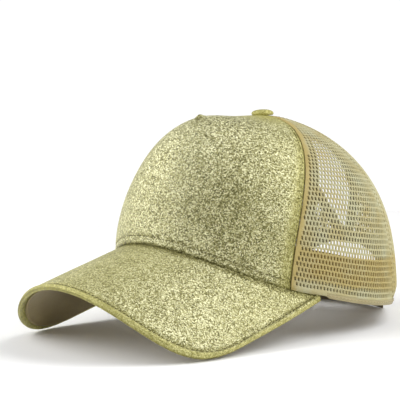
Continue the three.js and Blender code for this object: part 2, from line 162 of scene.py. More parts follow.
@dataclass
class CapForm:
    """The surfaces that every piece lies on: the crown's outer face and the peak's top.

    The rim is two half ellipses in plan. In each direction the crown has an upright outline
    with one power over its top and one up its wall. The peak's top is an arch across, and
    rises towards the crown.
    """

    half_width: float = 92.5
    front: float = 104.0
    back: float = 76.5
    height: float = 136.4
    apex_hole: float = 3.0
    clearance: float = 0.35
    front_wall: float = 2.0
    curves: dict[str, tuple[float, float]] = field(
        default_factory=lambda: {"front": (2.98, 1.22), "back": (1.64, 3.06), "side": (1.59, 2.85)}
    )
    swells: Sequence[Swell] = (
        Swell(0.0, radians(28), 2.47, 0.0),
        Swell(radians(90), radians(25), 0.08, 0.33),
    )
    front_seam: Seam = Seam(radians(59.4), radians(90), 1.45)
    back_seam: Seam = Seam(radians(115), radians(112), 1)
    # The rim's height behind the peak, from the peak's end to the middle of the back.
    rim_fall: Sequence[tuple[float, float]] = (
        (0, 1),
        (0.18, 0.7),
        (0.36, 0.57),
        (0.6, 0.44),
        (0.75, 0.25),
        (0.88, 0.07),
        (1, 0),
    )
    # Where the rim rolls inwards, and how far.
    roll_at: float = radians(130)
    roll_spread: float = radians(15)
    roll_height: float = 13.0
    roll_in: float = 5.0
    # The height below which inner layers follow the rim.
    lift_ends: float = 8.0
    peak_reach: float = 66.6
    peak_half_width: float = 89.0
    peak_shoulder: float = 15.0
    peak_end: float = radians(70)
    peak_wall: float = 3.2
    peak_slope: float = radians(15.6)
    peak_tip_width: float = 1.2
    arch_half_span: float = 1.341
    arch_depth: float = 1.968
    edge_side: float = 1.98
    edge_tip: float = 3.72
    edge_turn: float = 0.75
    strap_lift: float = 4.0
    origin: tuple[float, float, float] = (0.0, 46.7805, -2.4562)
    directions: int = 361
    shares: int = 401
    outline_steps: int = 301
    outline_ease: float = 1.4

    def __post_init__(self) -> None:
        """Works out the crest's height, the lean and the table of the upright outlines."""
        across = np.linspace(-1, 1, self.shares)
        edge = self.peak_point(across, np.ones_like(across), self.peak_wall, 0)
        self.crest_height = -edge[:, 2].min()
        drop = self.strap_lift - self.crest_height - edge[:, 2]
        self.lean = atan((drop / (self.back - edge[:, 1])).max())
        angles = np.linspace(0, pi, self.directions)
        lean = pi / 2 * np.linspace(0, 1, self.outline_steps) ** self.outline_ease
        top, wall = self.powers(angles)
        foot = self.rim_height(angles, 0)[:, None]
        reach = np.hypot(*self.rim_plan(angles))
        radius = np.maximum(np.cos(lean), 0) ** (2 / top[:, None])
        height = foot + (self.height - foot) * np.sin(lean) ** (2 / wall[:, None])
        length = run_length(np.stack([radius * reach[:, None], height], axis=-1))
        self.lengths = length[:, -1]
        goals = np.linspace(0, 1, self.shares)
        self.radii, self.heights = (
            np.array([np.interp(goals * n[-1], n, row) for n, row in zip(length, table)])
            for table in (radius, height)
        )

    @staticmethod
    def from_front(angle: Array) -> Array:
        """The angle from the front on either side, from 0 to pi."""
        return pi - np.abs(pi - np.abs(angle))

    def rim_plan(self, angle: Array, depth: float = 0.0) -> tuple[Array, Array]:
        """The rim seen from above, at a depth inside it."""
        reach = np.where(np.cos(angle) > 0, self.front, self.back)
        x, y = self.half_width * np.sin(angle), -reach * np.cos(angle)
        out_x, out_y = reach * np.sin(angle), -self.half_width * np.cos(angle)
        long = np.hypot(out_x, out_y)
        return x - depth * out_x / long, y - depth * out_y / long

    def peak_rise(self, x: Array, y: Array) -> Array:
        """Height of the peak's top over its crest at the crown's front."""
        span, depth = self.arch_half_span * self.half_width, self.arch_depth * self.half_width
        crest = tan(self.peak_slope) * (y + self.front)
        return crest - depth * (1 - np.sqrt(np.maximum(0, 1 - (x / span) ** 2)))

    def peak_normal(self, x: Array, y: Array) -> Array:
        """The peak's upward normal."""
        step = 0.5
        along_x = (self.peak_rise(x + step, y) - self.peak_rise(x - step, y)) / (2 * step)
        along_y = (self.peak_rise(x, y + step) - self.peak_rise(x, y - step)) / (2 * step)
        return unit(np.stack([-along_x, -along_y, np.ones_like(along_x)], axis=-1))

    def peak_edge(self, across: Array) -> tuple[Array, Array]:
        """The peak's outline in plan, from one end (-1) round its tip to the other (1)."""
        t = np.abs(across)
        wide_x, wide_y = self.peak_half_width, self.peak_shoulder - self.front
        lean = np.clip(t / self.edge_turn, 0, 1) * pi / 2
        tip_x = wide_x * np.sin(lean) ** (2 / self.edge_side)
        cosine = np.maximum(np.cos(lean), 0)
        tip_y = wide_y - (self.peak_reach + self.peak_shoulder) * cosine ** (2 / self.edge_tip)
        end_x, end_y = self.rim_plan(np.array(self.peak_end), -self.peak_tip_width)
        s = np.clip((t - self.edge_turn) / (1 - self.edge_turn), 0, 1)
        x = np.where(t < self.edge_turn, tip_x, curve(s, wide_x, wide_x, end_x))
        run_y = curve(s, wide_y, (wide_y + end_y) / 2, end_y)
        return x * np.sign(across), np.where(t < self.edge_turn, tip_y, run_y)

    def peak_span(self, across: Array) -> tuple[Array, Array, Array]:
        """The peak's inner line and its outline in plan, and the width between them."""
        inner = np.stack(self.rim_plan(across * self.peak_end, self.front_wall), axis=-1)
        edge = np.stack(self.peak_edge(across), axis=-1)
        return inner, edge, np.linalg.norm(edge - inner, axis=-1)

    def peak_point(self, across: Array, out: Array, depth: Array, inset: float) -> Array:
        """Points of a layer of the peak, with heights from the crest.

        Args:
            across: From -1 at the right end to 1 at the left end.
            out: From 0 against the crown to 1 at the outer edge.
            depth: How far below the top.
            inset: How far the layer stops short of both edges.

        Returns:
            One point a row, in millimetres.
        """
        inner, edge, width = self.peak_span(across)
        share = (inset + out * (width - 2 * inset)) / width
        plan = inner + (edge - inner) * share[:, None]
        normal = self.peak_normal(plan[:, 0], plan[:, 1])
        lean = np.clip(out, 0, 1)[:, None]
        through = unit(np.array([0.0, 0.0, 1.0]) * (1 - lean) + normal * lean)
        drop = depth / (through * normal).sum(axis=-1)
        rise = self.peak_rise(plan[:, 0], plan[:, 1])
        return np.column_stack([plan, rise]) - through * np.atleast_1d(drop)[:, None]

    def rim_height(self, angle: Array, depth: Array) -> Array:
        """Height of a cloth's lower edge at a depth inside the crown."""
        turned = self.from_front(angle)
        turn = np.minimum(turned, self.peak_end)
        x, y = self.rim_plan(turn, depth)
        gap = self.clearance / self.peak_normal(x, y)[..., 2]
        on_peak = self.crest_height + self.peak_rise(x, y) + gap
        along = (turned - turn) / (pi - self.peak_end)
        return on_peak * np.where(along > 0, self._fall(along), 1.0)

    def _fall(self, along: Array) -> Array:
        """The rim's height behind the peak, as a smooth curve through its table."""
        at, height = np.array(self.rim_fall, float).T
        last = len(at) - 1
        before = np.clip(np.arange(-1, last), 0, last)
        after = np.clip(np.arange(1, last + 2), 0, last)
        slope = (height[after] - height[before]) / (at[after] - at[before])
        i = np.clip(np.searchsorted(at, along, side="right") - 1, 0, last - 1)
        span = at[i + 1] - at[i]
        t = (along - at[i]) / span
        return (
            height[i] * (2 * t**3 - 3 * t**2 + 1)
            + height[i + 1] * (3 * t**2 - 2 * t**3)
            + span * slope[i] * (t**3 - 2 * t**2 + t)
            + span * slope[i + 1] * (t**3 - t**2)
        )

    def powers(self, angle: Array) -> tuple[Array, Array]:
        """The powers of the crown's outline over its top and up its wall."""
        front, back = (np.maximum(sign * np.cos(angle), 0) ** 2 for sign in (1, -1))
        shares = {"front": front, "back": back, "side": 1 - front - back}
        top, wall = (sum(shares[n] * pair[k] for n, pair in self.curves.items()) for k in (0, 1))
        for swell in self.swells:
            share = bump(swell.direction, swell.spread, self.from_front(angle))
            top, wall = top + share * swell.top, wall + share * swell.wall
        return top, wall

    def length(self, angle: Array) -> Array:
        """Length of the cloth from the rim to the button's axis."""
        at = self.from_front(angle) / pi * (self.directions - 1)
        return np.interp(at, np.arange(self.directions), self.lengths)

    def top_share(self, angle: Array) -> Array:
        """The share at which the cloth ends, at the hole under the button."""
        return 1 - self.apex_hole / self.length(angle)

    def face(self, angle: Array, share: Array) -> Array:
        """Points on the crown's outer face, in millimetres about the button's axis."""
        angle, share = np.broadcast_arrays(np.asarray(angle, float), np.asarray(share, float))
        short = 0.001
        last_i, last_j = self.directions - 1, self.shares - 1
        i = np.clip(self.from_front(angle) / pi * last_i, 0, last_i - short)
        j = np.clip(share * last_j, 0, last_j - short)
        low_i, low_j = i.astype(int), j.astype(int)
        part_i, part_j = i - low_i, j - low_j

        def read(table: Array) -> Array:
            near = table[low_i, low_j] * (1 - part_j) + table[low_i, low_j + 1] * part_j
            far = table[low_i + 1, low_j] * (1 - part_j) + table[low_i + 1, low_j + 1] * part_j
            return near * (1 - part_i) + far * part_i

        x, y = self.rim_plan(angle)
        radius = read(self.radii)
        return np.stack([x * radius, y * radius, read(self.heights)], axis=-1)

    def normal(self, angle: Array, share: Array) -> Array:
        """The crown's outward normal."""
        turn, climb = 0.01, 0.02
        angle, share = np.broadcast_arrays(np.asarray(angle, float), np.asarray(share, float))
        low = np.clip(share - climb, 0, 1 - climb)
        high = np.clip(share + climb, climb, self.top_share(angle))
        around = self.face(angle + turn, share) - self.face(angle - turn, share)
        up = self.face(angle, high) - self.face(angle, np.minimum(low, high - climb))
        return unit(np.cross(around, up))

    def point(self, angle: Array, share: Array, depth: Array) -> Array:
        """Points at a depth inside the crown, in millimetres about the button's axis."""
        depth = np.broadcast_to(np.asarray(depth, float), np.shape(share))
        normal, high = self.normal(angle, share), share * self.length(angle)
        place = self.face(angle, share) - normal * depth[..., None]
        fade = np.maximum(0, 1 - high / self.lift_ends)
        place[..., 2] += fade * (self.rim_height(angle, depth) - self.rim_height(angle, 0 * depth))
        low = np.clip(1 - high / self.roll_height, 0, 1) ** 2
        roll = self.roll_in * bump(self.roll_at, self.roll_spread, self.from_front(angle)) * low
        return place - normal * roll[..., None] * np.array([1.0, 1.0, 0.0])

    def _plan_share(self, angle: Array, share: Array) -> Array:
        """How far out the crown lies in plan, where the rim is at 1."""
        plan = self.face(angle, share)
        return np.hypot(plan[..., 0], plan[..., 1]) / np.hypot(*self.rim_plan(angle))

    def width_angle(self, width: Array, angle: Array, share: Array) -> Array:
        """The angle that a width of cloth takes round the crown."""
        reach = np.where(np.cos(angle) > 0, self.front, self.back)
        girth = np.hypot(self.half_width * np.cos(angle), reach * np.sin(angle))
        radius = self._plan_share(angle, np.minimum(share, self.top_share(pi)))
        return width / (girth * radius)

    def beside(self, seam: Seam, width: float) -> Line:
        """The line at a width of cloth behind a seam, as a direction at each share."""

        def line(share: Array) -> Array:
            angle = seam.angle(share)
            return angle + self.width_angle(width, angle, share)

        return line

    def back_angle(self, across: Array, share: Array) -> Array:
        """The direction of a place that lies a width across from the middle of the back."""
        rounds = 5
        angle = np.full(np.broadcast(across, share).shape, pi)
        for _ in range(rounds):
            reach = self.half_width * self._plan_share(angle, share)
            angle = pi - np.arcsin(np.clip(np.abs(across) / reach, 0, 1))
        return angle

    def back_point(self, across: Array, height: Array, depth: Array) -> Array:
        """Points on the back, by width across and height up the cloth, in millimetres."""
        share = np.clip(height / self.length(pi), 0, self.top_share(pi))
        place = self.point(self.back_angle(across, share), share, depth)
        place[..., 0] *= np.where(across < 0, -1, 1)
        place[..., 2] += np.minimum(0, height)
        return place

    def table_height(self, y: Array) -> Array:
        """Height of the table under the crown before the cap leans back onto its strap."""
        return self.strap_lift + (y - self.back) * tan(self.lean)

    def turned(self, vectors: Array) -> Array:
        """Vectors turned as the cap leans back at rest."""
        c, s = cos(self.lean), sin(self.lean)
        return vectors @ np.array([[1, 0, 0], [0, c, -s], [0, s, c]])

    def placed(self, points: Array) -> Array:
        """Points moved from the button's axis to the row frame, in metres."""
        return (self.turned(points) + np.array(self.origin)) * MM


class Value:
    """A number from a node, which Python's operators turn into Math nodes."""

    def __init__(self, shader: "Shader", socket: Socket) -> None:
        """Wraps a socket of a shader."""
        self.shader = shader
        self.socket = socket

    def maths(self, operation: str, other: "Value | float") -> "Value":
        """A Math node of an operation, with this value first."""
        settings = {"operation": operation}
        node = self.shader.node("ShaderNodeMath", settings, {0: self, 1: other})
        return Value(self.shader, node.outputs[0])

    def __add__(self, other: "Value | float") -> "Value":
        """The sum."""
        return self.maths("ADD", other)

    def __mul__(self, other: "Value | float") -> "Value":
        """The product."""
        return self.maths("MULTIPLY", other)

    def __sub__(self, other: "Value | float") -> "Value":
        """The difference."""
        return self.maths("SUBTRACT", other)

    def within(self, low: float, high: float) -> "Value":
        """Rises smoothly from 0 at low to 1 at high."""
        inputs = {"Value": self, "From Min": low, "From Max": high}
        node = self.shader.node("ShaderNodeMapRange", {"interpolation_type": "SMOOTHSTEP"}, inputs)
        return Value(self.shader, node.outputs["Result"])


def linear(red: int, green: int, blue: int) -> Colour:
    """A colour given in screen values from 0 to 255, as light."""
    parts = [c / 255 for c in (red, green, blue)]
    return tuple(c / 12.92 if c <= 0.04045 else ((c + 0.055) / 1.055) ** 2.4 for c in parts)


class Shader:
    """Makes the nodes of one material, or of the world."""

    def __init__(self, name: str, world: bool = False) -> None:
        """Starts a material or a world that has only its surface or background shader."""
        self.owner = bpy.data.worlds.new(name) if world else bpy.data.materials.new(name)
        self.owner.use_nodes = True
        self.tree = self.owner.node_tree
        self.surface = self.tree.nodes["Background" if world else "Principled BSDF"]

    def node(
        self, kind: str, settings: dict | None = None, inputs: dict | None = None
    ) -> bpy.types.Node:
        """Makes a node.

        Args:
            kind: The node's type.
            settings: The node's own settings.
            inputs: Values or links of its sockets, by name or number.

        Returns:
            The node.
        """
        node = self.tree.nodes.new(kind)
        for name, value in (settings or {}).items():
            setattr(node, name, value)
        for name, value in (inputs or {}).items():
            self.feed(node.inputs[name], value)
        return node

    def feed(self, socket: Socket, value: object) -> None:
        """Links a socket to a value or another socket, or sets its number, vector or colour."""
        if isinstance(value, Value):
            value = value.socket
        if isinstance(value, Socket):
            self.tree.links.new(value, socket)
        elif socket.type == "RGBA":
            socket.default_value = (*value, 1.0)
        else:
            socket.default_value = value

    def coordinates(self, source: str = "Object") -> Socket:
        """The texture coordinates of a source."""
        return self.node("ShaderNodeTexCoord").outputs[source]

    def noise(self, size: float, detail: float = 2.0) -> Value:
        """Cloudy noise whose clouds have a size in metres."""
        inputs = {"Vector": self.coordinates(), "Scale": 1 / size, "Detail": detail}
        return Value(self, self.node("ShaderNodeTexNoise", None, inputs).outputs["Fac"])

    def waves(self, pitch: float, direction: str, source: object, wobble: float) -> Value:
        """Soft ridges a pitch apart, across a direction of the source."""
        settings = {"wave_type": "BANDS", "bands_direction": direction, "wave_profile": "SIN"}
        inputs = {"Vector": source, "Scale": pi / (10 * pitch), "Distortion": wobble}
        return Value(self, self.node("ShaderNodeTexWave", settings, inputs).outputs["Fac"])

    def mix(self, share: object, first: object, second: object) -> Socket:
        """A mix of two colours."""
        inputs = {0: share, 6: first, 7: second}
        return self.node("ShaderNodeMix", {"data_type": "RGBA"}, inputs).outputs[2]

    def ramp(self, value: Value, stops: Sequence[tuple[float, Colour]]) -> Socket:
        """A colour read from a ramp, whose stops are each a place and a colour."""
        node = self.node("ShaderNodeValToRGB", None, {"Fac": value})
        elements = node.color_ramp.elements
        while len(elements) < len(stops):
            elements.new(1.0)
        for element, (place, colour) in zip(elements, stops):
            element.position = place
            element.color = (*colour, 1.0)
        return node.outputs["Color"]

    def vectors(self, operation: str, *parts: object, **more: float) -> Socket:
        """A Vector Math node."""
        inputs = {**dict(enumerate(parts)), **more}
        return self.node("ShaderNodeVectorMath", {"operation": operation}, inputs).outputs[0]

    def relief(self, height: Value, depth: float) -> Socket:
        """A bumped normal for a height of a depth in metres."""
        inputs = {"Height": height, "Distance": depth, "Strength": 1.0}
        return self.node("ShaderNodeBump", None, inputs).outputs["Normal"]

    def attribute(self, name: str) -> Value:
        """A value that the mesh carries at each of its points."""
        node = self.node("ShaderNodeAttribute", {"attribute_name": name})
        return Value(self, node.outputs["Fac"])

    def finish(self, **sockets: object) -> bpy.types.Material | bpy.types.World:
        """Feeds the shader's sockets, given with _ for a space, and gives what it belongs to."""
        for name, value in sockets.items():
            self.feed(self.surface.inputs[name.replace("_", " ")], value)
        return self.owner


@dataclass(frozen=True)
class Glitter:
    """Cloth covered in fine flakes that face many ways.

    Attributes:
        name: The material's name.
        olive: Dark, middle and light colours where the cloth looks smooth, away from the painted
            highlight.
        reflected_silver: The same where its flakes show under the painted highlight, as a painted
            reflection of the lights.
        places: Where those colours lie from the darkest flake to the lightest.
        flake: A flake's size in metres.
        tilt: How far the flakes lean.
        metallic: How far they are like metal.
        cloud: The size of the cloth's paler and darker patches in metres.
        cloudiness: How strongly those patches show.
        shading: How much darker the cloth is in its own shade.
    """

    name: str
    olive: tuple[Colour, Colour, Colour]
    reflected_silver: tuple[Colour, Colour, Colour]
    places: tuple[float, float, float] = (0.05, 0.45, 0.95)
    flake: float = 0.62 * MM
    tilt: float = 0.6
    metallic: float = 0.3
    cloud: float = 14 * MM
    cloudiness: float = 0.3
    shading: float = 0.38

    def material(self) -> bpy.types.Material:
        """Makes the material."""
        shader = Shader(self.name)
        inputs = {"Vector": shader.coordinates(), "Scale": 1 / self.flake, "Randomness": 1.0}
        flakes = shader.node("ShaderNodeTexVoronoi", {"voronoi_dimensions": "3D"}, inputs)
        parts = shader.node("ShaderNodeSeparateColor", None, {"Color": flakes.outputs["Color"]})
        # The pale values are a painted highlight and the shade values are painted shade.
        pale, shade = shader.attribute("pale"), shader.attribute("shade")
        flake, gloss = Value(shader, parts.outputs[0]), Value(shader, parts.outputs[2])
        clouds = (shader.noise(self.cloud, 3.0) - 0.5) * self.cloudiness
        # Flakes stand out more under the painted highlight, and painted shade darkens the grain.
        grain = (flake - 0.5) * (pale * 0.5 + 0.5) + clouds + 0.5 - shade * self.shading
        # Olive away from the painted highlight; silver under it, as the flakes' painted reflection
        # of the lights.
        olive, reflected_silver = (
            shader.ramp(grain, list(zip(self.places, tones))) for tones in (self.olive, self.reflected_silver)
        )
        lean = shader.vectors("SUBTRACT", flakes.outputs["Color"], (0.5, 0.5, 0.5))
        scaled = shader.vectors("SCALE", lean, Scale=self.tilt)
        facing = shader.node("ShaderNodeNewGeometry").outputs["Normal"]
        return shader.finish(
            Base_Color=shader.mix(pale, olive, reflected_silver),
            Roughness=gloss * 0.25 + 0.38,
            Metallic=self.metallic,
            Normal=shader.vectors("NORMALIZE", shader.vectors("ADD", facing, scaled)),
        )


@dataclass(frozen=True)
class Weave:
    """Plain or ribbed woven cloth, whose threads follow the cloth's own UV map."""

    name: str
    colour: Colour
    shade: Colour
    thread: float = 0.55 * MM
    rib: float = 0.0
    depth: float = 0.12 * MM
    roughness: float = 0.85
    sheen: float = 0.25
    cloud: float = 9 * MM
    fibre: float = 0.8 * MM

    def material(self) -> bpy.types.Material:
        """Makes the material."""
        shader = Shader(self.name)
        cloth = shader.coordinates("UV")
        warp, weft = (shader.waves(self.thread, axis, cloth, 0.4) for axis in "XY")
        height = warp * 0.5 + weft * 0.5
        if self.rib > 0:
            height = height * 0.5 + shader.waves(self.rib, "Y", cloth, 0.2)
        cloud, fibre = shader.noise(self.cloud, 3.0), shader.noise(self.fibre)
        # The darker colour fills the hollows between the threads as painted shade, and random
        # cloudy patches as the cloth's own uneven tone.
        share = (height * 0.55 + cloud * 0.6 + fibre * 0.25 - 0.35).within(0.0, 0.8)
        return shader.finish(
            Base_Color=shader.mix(share, self.shade, self.colour),
            Roughness=self.roughness,
            Sheen_Weight=self.sheen,
            Normal=shader.relief(height + fibre * 0.3, self.depth),
        )


@dataclass(frozen=True)
class Thread:
    """Sewing thread and net yarn: dull, with fine fibres."""

    name: str
    colour: Colour
    shade: Colour
    roughness: float = 0.7
    fibre: float = 0.35 * MM
    cloud: float = 12 * MM
    depth: float = 0.05 * MM

    def material(self) -> bpy.types.Material:
        """Makes the material."""
        shader = Shader(self.name)
        fibre, cloud = shader.noise(self.fibre), shader.noise(self.cloud)
        # The darker colour comes with random fibres and clouds, the yarn's own tone, and with a
        # piece's shade values: painted shade, and on the net the sweatband's painted tint.
        share = (fibre * 0.6 + cloud * 0.5 - shader.attribute("shade")).within(0.25, 0.8)
        return shader.finish(
            Base_Color=shader.mix(share, self.shade, self.colour),
            Roughness=self.roughness,
            Normal=shader.relief(fibre, self.depth),
        )


@dataclass(frozen=True)
class Paper:
    """The pale, even floor."""

    name: str = "pale_floor"
    colour: Colour = (0.98, 0.98, 0.98)
    dimmed: float = 0.985
    cloud: float = 0.25

    def material(self) -> bpy.types.Material:
        """Makes the material."""
        shader = Shader(self.name)
        dim = tuple(c * self.dimmed for c in self.colour)
        colour = shader.mix(shader.noise(self.cloud), dim, self.colour)
        return shader.finish(Base_Color=colour, Roughness=0.9)


@dataclass
class Finishes:
    """Every finish of the cap, made once."""

    # The glitter's second set of colours is its flakes' painted reflection of the lights.
    glitter: Glitter = Glitter(
        "gold_glitter_cloth",
        (linear(128, 122, 56), linear(172, 166, 90), linear(216, 211, 142)),
        (linear(88, 85, 42), linear(162, 158, 104), linear(244, 242, 200)),
    )
    net: Thread = Thread("beige_net", linear(188, 188, 154), linear(176, 158, 96))
    tape: Weave = Weave("tan_seam_tape", linear(172, 154, 104), linear(142, 126, 78), rib=1.1 * MM)
    hem: Weave = Weave("grey_hem_tape", linear(182, 170, 128), linear(150, 138, 98), rib=1.2 * MM)
    band: Weave = Weave("tan_sweatband", linear(198, 158, 84), linear(160, 126, 60), 0.7 * MM)
    lining: Weave = Weave("mauve_lining", linear(132, 122, 118), linear(104, 95, 90), 0.5 * MM)
    underside: Weave = Weave(
        "olive_peak_lining", linear(150, 132, 76), linear(126, 109, 60), 0.6 * MM
    )
    binding: Weave = Weave("taupe_binding", linear(150, 140, 116), linear(120, 110, 88), rib=MM)
    strap: Weave = Weave("taupe_webbing", linear(112, 101, 78), linear(84, 74, 54), rib=1.6 * MM)
    stitch: Thread = Thread("khaki_thread", linear(104, 96, 46), linear(72, 65, 28))
    pale_stitch: Thread = Thread("beige_thread", linear(168, 154, 104), linear(136, 122, 76))
    ochre: Thread = Thread("ochre_thread", linear(158, 128, 56), linear(122, 96, 36))
    made: dict[str, bpy.types.Material] = field(default_factory=dict)

    def get(self, name: str) -> bpy.types.Material:
        """The material of a finish, made the first time that it is asked for."""
        if name not in self.made:
            self.made[name] = getattr(self, name).material()
        return self.made[name]


@dataclass(frozen=True)
class Stitch:
    """A kind of stitch: its thread's finish, its pitch, its length and the thread's width."""

    finish: str = "stitch"
    pitch: float = 3.0
    length: float = 2.1
    width: float = 0.5


@dataclass(frozen=True)
class Cloth:
    """How a piece of cloth is laid out.

    Attributes:
        node: The CAD node that it stands for.
        finish: Its finish.
        faces: Faces across and up.
        size: Its width and height, for its weave.
        wall: Its thickness.
        offset: Where the wall lies: -1 inside the sheet, 0 on both sides.
        flip: Whether its faces are turned round.
        tones: Values from 0 to 1 that it carries for its finish: painted highlight, painted shade
            and painted tint.
        title: Its name, where that isn't the node's with a capital.
    """

    node: str
    finish: str
    faces: tuple[int, int]
    size: tuple[float, float]
    wall: float = 0.0
    offset: float = -1.0
    flip: bool = False
    tones: dict[str, Place] = field(default_factory=dict)
    title: str = ""

    @property
    def name(self) -> str:
        """The piece's name."""
        return self.title or self.node.capitalize()


def added(name: str, data: bpy.types.ID) -> bpy.types.Object:
    """A new object in the scene."""
    thing = bpy.data.objects.new(name, data)
    bpy.context.scene.collection.objects.link(thing)
    return thing


@dataclass
class Maker:
    """Turns bmesh work into finished pieces that stand for CAD nodes."""

    form: CapForm
    finishes: Finishes
    count: int = 0

    def grid(self, cloth: Cloth, place: Place) -> bmesh.types.BMesh:
        """A grid of cloth laid on a surface, with a UV map in metres of cloth.

        Args:
            cloth: How the piece is laid out.
            place: Gives points in millimetres for places from 0 to 1 across and up.

        Returns:
            The mesh in the row frame, in metres.
        """
        bm = bmesh.new()
        columns, rows = cloth.faces
        bmesh.ops.create_grid(bm, x_segments=columns, y_segments=rows, size=0.5)
        flat = np.array([v.co[:2] for v in bm.verts]) + 0.5
        points = self.form.placed(place(flat[:, 0], flat[:, 1]))
        uv = bm.loops.layers.uv.new("Cloth")
        woven = flat * (np.array(cloth.size) * MM)
        for face in bm.faces:
            for loop in face.loops:
                loop[uv].uv = woven[loop.vert.index]
        for vert, point in zip(bm.verts, points):
            vert.co = point
        for name, tone in cloth.tones.items():
            layer = bm.verts.layers.float.new(name)
            for vert, value in zip(bm.verts, np.clip(tone(flat[:, 0], flat[:, 1]), 0, 1)):
                vert[layer] = value
        return bm

    def piece(
        self, name: str, bm: bmesh.types.BMesh, finish: str, node: str = "", flip: bool = False
    ) -> bpy.types.Object:
        """Makes a mesh into a piece of the cap.

        Args:
            name: The piece's name.
            bm: Its mesh, which is used up.
            finish: The name of its finish.
            node: The CAD node that it stands for, if it stands for one.
            flip: Whether its faces are turned round, as on a mirrored piece.

        Returns:
            The piece.
        """
        if flip:
            bmesh.ops.reverse_faces(bm, faces=bm.faces[:])
        bm.normal_update()
        mesh = bpy.data.meshes.new(name)
        bm.to_mesh(mesh)
        bm.free()
        mesh.polygons.foreach_set("use_smooth", [True] * len(mesh.polygons))
        mesh.materials.append(self.finishes.get(finish))
        piece = added(name, mesh)
        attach(piece, "root")
        if node:
            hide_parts(node)
        self.count += 1
        LOG.info("%s: %d faces", name, len(mesh.polygons))
        return piece

    def cloth(self, cloth: Cloth, place: Place) -> bpy.types.Object:
        """Makes a piece of cloth laid on a surface, with its wall."""
        bm = self.grid(cloth, place)
        piece = self.piece(cloth.name, bm, cloth.finish, cloth.node, cloth.flip)
        self.thicken(piece, cloth.wall, cloth.offset)
        return piece

    @staticmethod
    def thicken(piece: bpy.types.Object, wall: float, offset: float, group: str = "") -> None:
        """Gives a sheet its wall, in millimetres, which is thinner outside a vertex group."""
        thin_share = 0.35
        solid = piece.modifiers.new("Wall", "SOLIDIFY")
        solid.thickness = wall * MM
        solid.offset = offset
        solid.use_even_offset = False
        if group:
            solid.vertex_group = group
            solid.thickness_vertex_group = thin_share

    @staticmethod
    def round_edges(piece: bpy.types.Object, width: float) -> None:
        """Rounds a thickened sheet's edges by a width in millimetres."""
        rounding = piece.modifiers.new("Edges", "BEVEL")
        rounding.width = width * MM
        rounding.segments = 2
        rounding.limit_method = "ANGLE"
        rounding.angle_limit = radians(50)

    def stitches(self, name: str, path: Array, normals: Array, kind: Stitch) -> None:
        """Makes a row of stitches along a path on the cloth.

        Args:
            name: The piece's name.
            path: Points in millimetres, in order.
            normals: The cloth's outward normal at each point.
            kind: The kind of stitch.
        """
        step = 0.4
        along = run_length(path)
        count = max(2, int(along[-1] / kind.pitch))
        middles = (np.arange(count) + 0.5) * along[-1] / count

        def at(distance: Array, values: Array) -> Array:
            return np.stack([np.interp(distance, along, values[:, k]) for k in range(3)], axis=-1)

        places = self.form.placed(at(middles, path))
        ahead = self.form.turned(unit(at(middles + step, path) - at(middles - step, path)))
        out = self.form.turned(unit(at(middles, normals)))
        half = [size / 2 * MM for size in (kind.length, kind.width, kind.width)]
        bm = bmesh.new()
        for place, run, up in zip(places, ahead, out):
            turn = Matrix(np.column_stack([run, np.cross(up, run), up]).tolist()).to_4x4()
            matrix = Matrix.Translation(Vector(place)) @ turn @ Matrix.Diagonal((*half, 1.0))
            bmesh.ops.create_uvsphere(bm, u_segments=6, v_segments=4, radius=1.0, matrix=matrix)
        self.piece(name, bm, kind.finish)

    def row(
        self,
        name: str,
        angle: Array,
        share: Array,
        depth: Array | float,
        kind: Stitch,
        side: Side = Side.LEFT,
    ) -> None:
        """Makes a row of stitches along places on the crown, as they are on a side."""
        path, facing = self.form.point(angle, share, depth), self.form.normal(angle, share)
        self.stitches(name, side.mirrored(path), side.mirrored(facing), kind)


@dataclass
class Part:
    """A sub-assembly of the cap."""

    maker: Maker

    @property
    def form(self) -> CapForm:
        """The surfaces that its pieces lie on."""
        return self.maker.form


